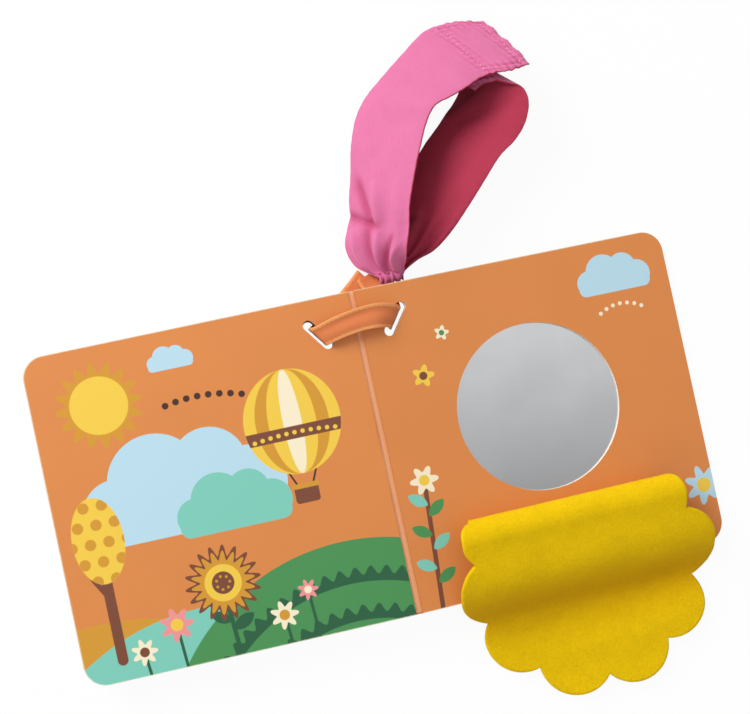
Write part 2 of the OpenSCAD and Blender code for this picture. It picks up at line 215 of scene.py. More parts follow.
class Paint:
    """Builds one material's nodes."""

    def __init__(self, name: str) -> None:
        """Starts an empty material."""
        self.material = bpy.data.materials.new(name)
        self.material.use_nodes = True
        self.tree = self.material.node_tree
        self.tree.nodes.clear()

    def node(
        self,
        kind: str,
        settings: dict[str, object] | None = None,
        values: dict[int | str, object] | None = None,
        output: int | str | None = 0,
    ) -> Num | None:
        """Adds any node.

        Args:
            kind: The node's type.
            settings: Its own properties, set first.
            values: What each socket takes, a link or a value, by its name or place.
            output: The output that is returned, or None for a node without one.

        Returns:
            That output.
        """
        node = self.tree.nodes.new(kind)
        for name, value in (settings or {}).items():
            setattr(node, name, value)
        for key, value in (values or {}).items():
            self.feed(node.inputs[key], value)
        return None if output is None else Num(self, node.outputs[output])

    def feed(self, socket: bpy.types.NodeSocket, value: object) -> None:
        """Links a socket, or sets it to a plain value."""
        if isinstance(value, Num):
            self.tree.links.new(value.socket, socket)
        elif isinstance(value, tuple) and socket.type == "RGBA":
            socket.default_value = (*value[:3], 1.0)
        else:
            socket.default_value = value

    def place(self, moved: Sequence[float] = (0, 0, 0)) -> Num:
        """Object coordinates in millimetres, moved."""
        where = self.node("ShaderNodeTexCoord", output="Object")
        scaled = self.node("ShaderNodeVectorMath", {"operation": "SCALE"}, {0: where, "Scale": 1 / MM})
        values = {"Vector": scaled, "Location": tuple(moved)}
        return self.node("ShaderNodeMapping", {"vector_type": "POINT"}, values)

    def parts(self, vector: Num) -> tuple[Num, Num, Num]:
        """The three numbers of a vector."""
        split = self.tree.nodes.new("ShaderNodeSeparateXYZ")
        self.tree.links.new(vector.socket, split.inputs[0])
        x, y, z = (Num(self, split.outputs[i]) for i in range(3))
        return x, y, z

    def mix(self, first: Colour, second: Colour, share: Num | float) -> Num:
        """A colour between two, where a share of 1 is the second."""
        values = {0: share, 6: first, 7: second}
        return self.node("ShaderNodeMix", {"data_type": "RGBA"}, values, 2)

    def tinted(self, colour: Colour, factor: Num) -> Num:
        """A colour made lighter or darker by a number near 1."""
        grey = self.node("ShaderNodeCombineXYZ", values={0: factor, 1: factor, 2: factor})
        values = {0: 1.0, 6: colour, 7: grey}
        settings = {"data_type": "RGBA", "blend_type": "MULTIPLY"}
        return self.node("ShaderNodeMix", settings, values, 2)

    def noise(self, vector: Num, scale: float, detail: float = 2.0, rough: float = 0.5) -> Num:
        """Noise from 0 to 1, with its scale in features a millimetre."""
        values = {"Vector": vector, "Scale": scale, "Detail": detail, "Roughness": rough}
        return self.node("ShaderNodeTexNoise", values=values, output="Fac")

    def bump(self, height: Num, distance: float, strength: float = 1.0) -> Num:
        """A normal from a height between 0 and 1, over a distance in millimetres."""
        values = {"Strength": strength, "Distance": distance * MM, "Height": height}
        return self.node("ShaderNodeBump", values=values)

    def cloth_map(self) -> tuple[Num, Num]:
        """The cloth's own coordinates in millimetres: along it and across it."""
        where = self.node("ShaderNodeUVMap", {"uv_map": CLOTH_MAP})
        along, across, _ = self.parts(where)
        return along * (1 / MM), across * (1 / MM)

    def finish(self, **sockets: object) -> bpy.types.Material:
        """Ends the material in a Principled shader.

        Args:
            sockets: Values or links of the shader's sockets, with _ for a space.

        Returns:
            The material.
        """
        values = {name.replace("_", " "): value for name, value in sockets.items()}
        shader = self.node("ShaderNodeBsdfPrincipled", values=values)
        self.node("ShaderNodeOutputMaterial", values={"Surface": shader}, output=None)
        return self.material


CLOTH_MAP = "cloth"


class Drawing:
    """A print built of flat shapes on a page, in millimetres from the gutter and the page's middle."""

    EDGE = 0.22

    def __init__(self, paint: Paint, place: Num, ground: Colour) -> None:
        """Starts a drawing on a ground colour."""
        self.paint = paint
        self.place = place
        self.x, self.y, _ = paint.parts(place)
        self.colour = ground

    def vector(self, operation: str, first: Num, second: object, output: int = 0) -> Num:
        """A Vector Math node."""
        values = {0: first, 1: second}
        return self.paint.node("ShaderNodeVectorMath", {"operation": operation}, values, output)

    def moved(self, x: float, y: float, turn: float = 0.0) -> tuple[Num, Num]:
        """Coordinates about a point, turned by an angle in degrees."""
        about = self.vector("SUBTRACT", self.place, (x, y, 0.0))
        if turn:
            values = {"Vector": about, "Rotation": (0.0, 0.0, -math.radians(turn))}
            about = self.paint.node("ShaderNodeMapping", {"vector_type": "POINT"}, values)
        u, v, _ = self.paint.parts(about)
        return u, v

    def circle(self, x: float, y: float, radius: float) -> Num:
        """A disc's cover."""
        return self.vector("DISTANCE", self.place, (x, y, 0.0), 1).under(radius, self.EDGE)

    def oval(self, x: float, y: float, half_w: float, half_h: float, turn: float = 0.0) -> Num:
        """An oval's cover."""
        u, v = self.moved(x, y, turn)
        far = ((u * (1 / half_w)) ** 2.0 + (v * (1 / half_h)) ** 2.0) ** 0.5
        return far.under(1.0, self.EDGE / min(half_w, half_h))

    def petals(self, x: float, y: float, radius: float, depth: float, count: int, turn: float = 0.0) -> Num:
        """A flower's or a sun's cover, with round petals or rays."""
        u, v = self.moved(x, y)
        far = (u * u + v * v) ** 0.5
        angle = v.math("ARCTAN2", u)
        wave = (angle * float(count) + math.radians(turn) * count).cos()
        return (far - wave * depth).under(radius - depth, self.EDGE)

    def stick(self, x0: float, y0: float, x1: float, y1: float, half_w: float) -> Num:
        """The cover of a straight stroke with round ends."""
        length = math.hypot(x1 - x0, y1 - y0)
        u, v = self.moved((x0 + x1) / 2, (y0 + y1) / 2, math.degrees(math.atan2(y1 - y0, x1 - x0)))
        past = (u.size() - length / 2).larger(0.0)
        return ((past * past + v * v) ** 0.5).under(half_w, self.EDGE)

    def block(self, x: float, y: float, half_w: float, half_h: float, round_r: float) -> Num:
        """The cover of a rectangle with round corners."""
        u, v = self.moved(x, y)
        past_u = (u.size() - (half_w - round_r)).larger(0.0)
        past_v = (v.size() - (half_h - round_r)).larger(0.0)
        return ((past_u * past_u + past_v * past_v) ** 0.5).under(round_r, self.EDGE)

    def spots(self, pitch: float, radius: float) -> Num:
        """The cover of a staggered field of dots."""
        row = (self.y * (1 / pitch)).math("FLOOR")
        u = (self.x * (1 / pitch) + row * 0.5).math("FRACT") - 0.5
        v = (self.y * (1 / pitch)).math("FRACT") - 0.5
        return ((u * u + v * v) ** 0.5).under(radius / pitch, self.EDGE / pitch)

    def arc_dots(
        self, x: float, y: float, arc_r: float, start: float, end: float, count: int, dot_r: float
    ) -> Num:
        """The cover of dots spaced along an arc, between two angles in degrees."""
        u, v = self.moved(x, y)
        far = (u * u + v * v) ** 0.5
        step = math.radians(end - start) / count
        share = (v.math("ARCTAN2", u) - math.radians(start)) * (1 / step)
        along = (share.math("FRACT") - 0.5) * (step * arc_r)
        across = far - arc_r
        dots = ((along * along + across * across) ** 0.5).under(dot_r, self.EDGE)
        return dots * share.over(0.0, 0.01) * share.under(float(count), 0.01)

    def layer(self, colour: Ink | Colour, cover: Num) -> None:
        """Prints a colour over what is there."""
        self.colour = self.paint.mix(self.colour, colour.value if isinstance(colour, Ink) else colour, cover)

    def cloud(self, x: float, y: float, scale: float) -> Num:
        """The cover of a cloud with a flat base, about 3.4 scales wide."""
        puffs = ((-1.15, 0.05, 0.55), (-0.45, 0.42, 0.78), (0.45, 0.5, 0.62), (1.05, 0.1, 0.6))
        cover: Num | None = None
        for px, py, pr in puffs:
            puff = self.circle(x + px * scale, y + py * scale, pr * scale)
            cover = puff if cover is None else cover.larger(puff)
        base = self.block(x - 0.04 * scale, y - 0.2 * scale, 1.62 * scale, 0.3 * scale, 0.29 * scale)
        return (cover * self.y.over(y - 0.2 * scale, self.EDGE)).larger(base)

    def flower(self, x: float, y: float, radius: float, petal: Ink, heart: Ink, count: int = 6) -> None:
        """Prints a flower."""
        self.layer(petal, self.petals(x, y, radius, radius * 0.22, count))
        self.layer(heart, self.circle(x, y, radius * 0.36))

    def leaf(self, x: float, y: float, length: float, turn: float, colour: Ink) -> None:
        """Prints a pointed leaf as the space that two discs share, with its base at a point."""
        bulge = length * 0.62
        cx = x + length / 2 * math.cos(math.radians(turn))
        cy = y + length / 2 * math.sin(math.radians(turn))
        reach = math.sqrt(bulge * bulge - length * length / 4)
        cover: Num | None = None
        for side in (-1, 1):
            ox = cx - side * reach * math.sin(math.radians(turn))
            oy = cy + side * reach * math.cos(math.radians(turn))
            disc = self.circle(ox, oy, bulge)
            cover = disc if cover is None else cover.smaller(disc)
        self.layer(colour, cover)


# ---- the book's sizes


@dataclass(frozen=True)
class Book:
    """Sizes of the boards and of what goes through them, as the solids have them."""

    page_w: float = 120.0
    page_h: float = 119.0
    corner_r: float = 8.0
    cover_t: float = 1.8
    block_t: float = 9.6
    leaf_gap: float = 0.8
    board_t: float = 1.5
    ply_t: float = 1.0
    gutter_half: float = 0.7
    felt_t: float = 1.6
    tape_t: float = 0.7
    cloth_gap: float = 0.3
    glue_gap: float = 0.05
    slot_x: float = 14.3
    slot_head: float = 13.0
    slot_angle: float = 36.0
    mid_x: float = -0.275298
    mid_y: float = 24.6054

    @property
    def lift(self) -> float:
        """Height of the spine off the table."""
        return self.tape_t + self.cloth_gap

    @property
    def page_z(self) -> float:
        """Height of the left page at the gutter."""
        return self.lift + self.cover_t + self.leaf_gap + self.block_t

    @property
    def hinge_z(self) -> float:
        """Height of the back cover's hinge."""
        return self.page_z + self.felt_t / 2

    @property
    def inner_z(self) -> float:
        """The mirror page's face, from its hinge."""
        return -self.felt_t / 2

    @property
    def outer_z(self) -> float:
        """The back cover's outer face, from its hinge."""
        return self.inner_z - self.ply_t - self.board_t

    @property
    def head_y(self) -> float:
        """Half of a page's height."""
        return self.page_h / 2

    @property
    def slot_y(self) -> float:
        """Height of the slots above the page's middle."""
        return self.head_y - self.slot_head

    @property
    def slope(self) -> float:
        """Slope of the back cover, in radians."""
        reach = math.hypot(self.page_w, self.outer_z)
        return math.asin(self.hinge_z / reach) - math.atan(-self.outer_z / self.page_w)

    @property
    def tilt(self) -> float:
        """Tilt of the left stack, in radians."""
        return math.asin(self.lift / self.page_w)

    @property
    def cover_start(self) -> float:
        """Distance from the hinge to the back cover's inner edge."""
        return self.gutter_half + 2 * self.cloth_gap

    def in_frame(self, points: np.ndarray) -> np.ndarray:
        """Points measured from the gutter's middle, in the part's frame."""
        return points - np.array([self.mid_x, self.mid_y, 0.0])

    def on_right(self, x: np.ndarray, y: np.ndarray, z: np.ndarray) -> np.ndarray:
        """Points of the back cover's own plane, in the part's frame."""
        c, s = math.cos(self.slope), math.sin(self.slope)
        return self.in_frame(np.stack([x * c + z * s, y + 0 * x, self.hinge_z - x * s + z * c], axis=-1))


BOOK = Book()


# ---- meshes


def cad(name: str) -> bpy.types.Object:
    """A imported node's object."""
    return bpy.data.objects[name]


@dataclass
class Sheet:
    """Vertices, faces and cloth coordinates of a mesh in the making, in millimetres."""

    points: np.ndarray
    faces: list[Sequence[int]]
    cloth: np.ndarray | None = None

    def build(self, name: str, material: bpy.types.Material, smooth: bool = True) -> bpy.types.Object:
        """Makes the object.

        Args:
            name: The piece's name.
            material: Its finish.
            smooth: Whether its faces are shaded smooth.

        Returns:
            The object, at the origin.
        """
        mesh = bpy.data.meshes.new(name)
        mesh.from_pydata((self.points * MM).tolist(), [], self.faces)
        if self.cloth is not None:
            layer = mesh.uv_layers.new(name=CLOTH_MAP)
            corner = np.zeros(len(mesh.loops), np.int32)
            mesh.loops.foreach_get("vertex_index", corner)
            layer.data.foreach_set("uv", (self.cloth[corner] * MM).astype(np.float32).ravel())
        mesh.polygons.foreach_set("use_smooth", np.full(len(mesh.polygons), smooth))
        mesh.materials.append(material)
        mesh.update()
        made = bpy.data.objects.new(name, mesh)
        bpy.context.scene.collection.objects.link(made)
        return made


def tube(rings: np.ndarray, cloth: np.ndarray | None = None, caps: tuple[bool, bool] = (True, True)) -> Sheet:
    """Joins closed rings into a tube whose faces point outwards.

    Args:
        rings: Points by ring and by place round the ring.
        cloth: Cloth coordinates of the same points.
        caps: Whether the first and the last ring are closed.

    Returns:
        The tube.
    """
    count, sides = rings.shape[:2]
    i, j = np.meshgrid(np.arange(count - 1), np.arange(sides), indexing="ij")
    p, q = (i * sides + j).ravel(), (i * sides + (j + 1) % sides).ravel()
    faces: list[Sequence[int]] = np.stack([p, q, q + sides, p + sides], axis=1).tolist()
    half = sides // 2
    for wanted, base, turn in ((caps[0], 0, 1), (caps[1], (count - 1) * sides, -1)):
        if wanted:
            for k in range(half - 1):
                a, b = k, k + 1
                quad = [base + a, base + (sides - 1 - a), base + (sides - 1 - b), base + b]
                faces.append(quad[::turn])
    flat = None if cloth is None else cloth.reshape(-1, 2)
    return Sheet(rings.reshape(-1, 3), faces, flat)


def unit(vectors: np.ndarray) -> np.ndarray:
    """Vectors of length one."""
    return vectors / np.linalg.norm(vectors, axis=-1, keepdims=True)


def area_under(height: np.ndarray, place: np.ndarray) -> float:
    """The area under a curve."""
    return float(np.sum((height[1:] + height[:-1]) / 2 * np.diff(place)))


def ripple(x: np.ndarray, y: np.ndarray, seed: int, waves: int = 7) -> np.ndarray:
    """Smooth uneven waves about 6 to 12 units long, between about -1 and 1."""
    draw = np.random.default_rng(seed)
    total = np.zeros(np.broadcast(x, y).shape)
    for _ in range(waves):
        angle, length, phase = draw.uniform(0, math.pi), draw.uniform(6, 12), draw.uniform(0, 6.28)
        total += np.sin((x * math.cos(angle) + y * math.sin(angle)) * 2 * math.pi / length + phase)
    return total / waves ** 0.5 / 1.4


# A crease's share of its depth at its ends, and how far past them it fades, in widths.
END_SHARE = 0.35
END_FADE = 1.6


@dataclass(frozen=True)
class Fold:
    """A crease in cloth, along a line from one place to another: along and across the cloth."""

    start: tuple[float, float]
    end: tuple[float, float]
    width: float
    depth: float
    sharp: float = 2.0

    def push(self, along: np.ndarray, across: np.ndarray) -> np.ndarray:
        """How far the crease moves each point out of the cloth."""
        a, b = np.array(self.start), np.array(self.end)
        line = b - a
        length = float(np.hypot(*line))
        t = ((along - a[0]) * line[0] + (across - a[1]) * line[1]) / length ** 2
        off = ((along - a[0]) * -line[1] + (across - a[1]) * line[0]) / length
        inside = np.clip(t, 0, 1)
        past = (t - inside) * length
        swell = END_SHARE + (1 - END_SHARE) * np.sin(np.clip(inside, 0.02, 0.98) * math.pi) ** 0.6
        fade = np.exp(-((past / (self.width * END_FADE)) ** 2)) * swell
        return self.depth * np.exp(-np.abs(off / self.width) ** self.sharp) * fade

    def shade(self, along: Num, across: Num) -> Num:
        """How far into the crease a place on the cloth is, from 0 to 1, which sets the share of the crease's
        painted shade.
        """
        dx, dy = self.end[0] - self.start[0], self.end[1] - self.start[1]
        ax, ay = along - self.start[0], across - self.start[1]
        t = ((ax * dx + ay * dy) * (1 / (dx * dx + dy * dy))).held()
        qx, qy = ax - t * dx, ay - t * dy
        return ((qx * qx + qy * qy) * (-1.0 / (self.width * self.width))).math("EXPONENT")


@dataclass
class Band:
    """A band swept along stations, whose places are its lower rim or its middle."""

    stations: np.ndarray
    width: float
    from_middle: bool

    def spline(self, u: np.ndarray) -> np.ndarray:
        """The stations' values on a smooth curve, at places counted in stations."""
        last = len(self.stations) - 1
        i = np.clip(np.floor(u).astype(int), 0, last - 1)
        t = (u - i)[:, None]
        p0, p1 = self.stations[np.maximum(i - 1, 0)], self.stations[i]
        p2, p3 = self.stations[i + 1], self.stations[np.minimum(i + 2, last)]
        return 0.5 * (
            2 * p1
            + (p2 - p0) * t
            + (2 * p0 - 5 * p1 + 4 * p2 - p3) * t ** 2
            + (3 * p1 - p0 - 3 * p2 + p3) * t ** 3
        )

    def middle(self, u: np.ndarray) -> tuple[np.ndarray, np.ndarray, np.ndarray]:
        """The band's middle line, its width direction and its share of the width."""
        s = self.spline(u)
        plan, rise = np.radians(s[:, 3]), np.radians(s[:, 4])
        across = np.stack([np.cos(rise) * np.cos(plan), np.cos(rise) * np.sin(plan), np.sin(rise)], axis=1)
        from_rim = 0.0 if self.from_middle else self.width / 2
        return s[:, :3] + across * (from_rim * s[:, 5])[:, None], across, s[:, 5]

    def frames(self, u: np.ndarray) -> tuple[np.ndarray, np.ndarray, np.ndarray, np.ndarray]:
        """Middle, width direction, face direction and share of the width."""
        last = len(self.stations) - 1
        centre, across, share = self.middle(u)
        ahead = self.middle(np.minimum(u + 0.05, last))[0]
        behind = self.middle(np.maximum(u - 0.05, 0))[0]
        return centre, across, unit(np.cross(ahead - behind, across)), share

    def lengths(self, u: np.ndarray) -> np.ndarray:
        """The length along the middle line at each place."""
        centre = self.middle(u)[0]
        steps = np.linalg.norm(np.diff(centre, axis=0), axis=1)
        return np.concatenate([[0.0], np.cumsum(steps)])

    def even(self, u0: float, u1: float, count: int) -> tuple[np.ndarray, np.ndarray]:
        """Places at even lengths between two others, and those lengths."""
        fine = np.linspace(u0, u1, 4000)
        run = self.lengths(fine)
        wanted = np.linspace(0, run[-1], count)
        return np.interp(wanted, run, fine), wanted


# ---- repeated small parts, by geometry nodes


class NodeMaker:
    """Builds a geometry tree and runs it on a carrier mesh."""

    def __init__(self, name: str, inputs: dict[str, tuple[str, object]]) -> None:
        """Starts a tree with a mesh and named sizes as inputs.

        Args:
            name: The tree's name.
            inputs: For each named input, its socket type and its value.
        """
        self.tree = bpy.data.node_groups.new(name, "GeometryNodeTree")
        self.sockets = {}
        self.values = {key: value for key, (_, value) in inputs.items()}
        face = self.tree.interface
        face.new_socket(name="Mesh", in_out="INPUT", socket_type="NodeSocketGeometry")
        for key, (kind, _) in inputs.items():
            self.sockets[key] = face.new_socket(name=key, in_out="INPUT", socket_type=kind)
        face.new_socket(name="Mesh", in_out="OUTPUT", socket_type="NodeSocketGeometry")
        self.entry = self.tree.nodes.new("NodeGroupInput")

    def node(
        self,
        kind: str,
        settings: dict[str, object] | None = None,
        values: dict[int | str, object] | None = None,
    ) -> bpy.types.Node:
        """Adds a node, with its settings first and then its sockets' links or values."""
        made = self.tree.nodes.new(kind)
        for name, value in (settings or {}).items():
            setattr(made, name, value)
        for key, value in (values or {}).items():
            if isinstance(value, bpy.types.NodeSocket):
                self.tree.links.new(value, made.inputs[key])
            else:
                made.inputs[key].default_value = value
        return made

    def given(self, name: str) -> bpy.types.NodeSocket:
        """A named input's socket."""
        return self.entry.outputs[name]

    def run(self, carrier: bpy.types.Object, last: bpy.types.NodeSocket, name: str) -> bpy.types.Object:
        """Ends the tree, runs it on the carrier and keeps the result as a plain mesh.

        Args:
            carrier: The mesh that the tree starts from, which is removed.
            last: The geometry to end with.
            name: The new piece's name.

        Returns:
            The new piece.
        """
        leave = self.tree.nodes.new("NodeGroupOutput")
        real = self.node("GeometryNodeRealizeInstances", values={0: last})
        smooth = self.node("GeometryNodeSetShadeSmooth", values={0: real.outputs[0]})
        dressed = self.node(
            "GeometryNodeSetMaterial",
            values={"Geometry": smooth.outputs[0], "Material": self.given("Finish")},
        )
        self.tree.links.new(dressed.outputs[0], leave.inputs[0])
        modifier = carrier.modifiers.new(name, "NODES")
        modifier.node_group = self.tree
        for key, socket in self.sockets.items():
            modifier[socket.identifier] = self.values[key]
        bpy.context.view_layer.update()
        ready = carrier.evaluated_get(bpy.context.evaluated_depsgraph_get())
        mesh = bpy.data.meshes.new_from_object(ready)
        mesh.name = name
        piece = bpy.data.objects.new(name, mesh)
        bpy.context.scene.collection.objects.link(piece)
        if not mesh.materials:
            mesh.materials.append(self.values["Finish"])
        carrier.modifiers.clear()
        bpy.data.objects.remove(carrier)
        return piece


def line_carrier(name: str, lines: Sequence[np.ndarray]) -> bpy.types.Object:
    """A mesh of open lines, for stitches to follow."""
    points = np.concatenate(lines) * MM
    edges, base = [], 0
    for line in lines:
        edges += [(base + i, base + i + 1) for i in range(len(line) - 1)]
        base += len(line)
    mesh = bpy.data.meshes.new(name)
    mesh.from_pydata(points.tolist(), edges, [])
    made = bpy.data.objects.new(name, mesh)
    bpy.context.scene.collection.objects.link(made)
    return made


@dataclass(frozen=True)
class Stitching:
    """Rows of lockstitch: the pitch, the length and the thickness of a stitch, in millimetres."""

    pitch: float = 2.4
    length: float = 1.9
    thread: float = 0.34

    def sew(self, name: str, lines: Sequence[np.ndarray], finish: bpy.types.Material) -> bpy.types.Object:
        """Lays a stitch at each step along the lines.

        Args:
            name: The piece's name.
            lines: The seams, as points on the cloth.
            finish: The thread's material.

        Returns:
            The stitches as one piece.
        """
        maker = NodeMaker(
            name,
            {
                "Pitch": ("NodeSocketFloat", self.pitch * MM),
                "Length": ("NodeSocketFloat", self.length * MM),
                "Thread": ("NodeSocketFloat", self.thread * MM),
                "Finish": ("NodeSocketMaterial", finish),
            },
        )
        curve = maker.node("GeometryNodeMeshToCurve", values={0: maker.given("Mesh")})
        steps = maker.node(
            "GeometryNodeResampleCurve",
            {"mode": "LENGTH"},
            {"Curve": curve.outputs[0], "Length": maker.given("Pitch")},
        )
        tangent = maker.node("GeometryNodeInputTangent")
        turn = maker.node("FunctionNodeAlignRotationToVector", {"axis": "X"}, {"Vector": tangent.outputs[0]})
        bead = maker.node("GeometryNodeMeshUVSphere", values={"Segments": 8, "Rings": 6, "Radius": 0.5})
        size = maker.node(
            "ShaderNodeCombineXYZ",
            values={0: maker.given("Length"), 1: maker.given("Thread"), 2: maker.given("Thread")},
        )
        laid = maker.node(
            "GeometryNodeInstanceOnPoints",
            values={
                "Points": steps.outputs[0],
                "Instance": bead.outputs[0],
                "Rotation": turn.outputs[0],
                "Scale": size.outputs[0],
            },
        )
        return maker.run(line_carrier(name + "_path", lines), laid.outputs[0], name)


@dataclass(frozen=True)
class Nap:
    """Loose fibres or small hooks that stand on a cloth."""

    density: float
    length: float
    thickness: float
    lean: float
    seed: int
    curl: float = 0.5

    def grow(self, name: str, cloth: bpy.types.Object, finish: bpy.types.Material) -> bpy.types.Object:
        """Grows the fibres on a copy of the cloth.

        Args:
            name: The piece's name.
            cloth: What they stand on.
            finish: Their material.

        Returns:
            The fibres as one piece.
        """
        maker = NodeMaker(
            name,
            {
                "Density": ("NodeSocketFloat", self.density / MM ** 2),
                "Length": ("NodeSocketFloat", self.length * MM),
                "Thickness": ("NodeSocketFloat", self.thickness * MM),
                "Seed": ("NodeSocketInt", self.seed),
                "Finish": ("NodeSocketMaterial", finish),
            },
        )
        spread = maker.node(
            "GeometryNodeDistributePointsOnFaces",
            values={
                "Mesh": maker.given("Mesh"),
                "Density": maker.given("Density"),
                "Seed": maker.given("Seed"),
            },
        )
        rise = maker.node("ShaderNodeCombineXYZ", values={2: maker.given("Length")})
        bent = maker.node("ShaderNodeVectorMath", {"operation": "SCALE"}, {0: rise.outputs[0], "Scale": 0.6})
        over = maker.node("ShaderNodeCombineXYZ", values={0: maker.given("Length"), 2: maker.given("Length")})
        tip = maker.node(
            "ShaderNodeVectorMath", {"operation": "MULTIPLY"}, {0: over.outputs[0], 1: (self.curl, 0.0, 0.8)}
        )
        arc = maker.node(
            "GeometryNodeCurvePrimitiveBezierSegment",
            values={
                "Resolution": 3,
                "Start": (0.0, 0.0, 0.0),
                "Start Handle": bent.outputs[0],
                "End Handle": bent.outputs[0],
                "End": tip.outputs[0],
            },
        )
        ring = maker.node(
            "GeometryNodeCurvePrimitiveCircle", values={"Resolution": 3, "Radius": maker.given("Thickness")}
        )
        hair = maker.node(
            "GeometryNodeCurveToMesh",
            values={"Curve": arc.outputs[0], "Profile Curve": ring.outputs[0], "Fill Caps": True},
        )
        swing = maker.node("FunctionNodeRandomValue", {"data_type": "FLOAT_VECTOR"})
        swing.inputs[0].default_value = (-self.lean, -self.lean, -math.pi)
        swing.inputs[1].default_value = (self.lean, self.lean, math.pi)
        maker.tree.links.new(maker.given("Seed"), swing.inputs["Seed"])
        euler = maker.node("FunctionNodeEulerToRotation", values={0: swing.outputs[0]})
        turn = maker.node(
            "FunctionNodeRotateRotation",
            {"rotation_space": "LOCAL"},
            {0: spread.outputs["Rotation"], 1: euler.outputs[0]},
        )
        size = maker.node("FunctionNodeRandomValue", {"data_type": "FLOAT"})
        size.inputs[2].default_value, size.inputs[3].default_value = 0.55, 1.25
        laid = maker.node(
            "GeometryNodeInstanceOnPoints",
            values={
                "Points": spread.outputs["Points"],
                "Instance": hair.outputs[0],
                "Rotation": turn.outputs[0],
                "Scale": size.outputs[1],
            },
        )
        carrier = cloth.copy()
        carrier.data = cloth.data.copy()
        bpy.context.scene.collection.objects.link(carrier)
        return maker.run(carrier, laid.outputs[0], name)


# ---- finishes


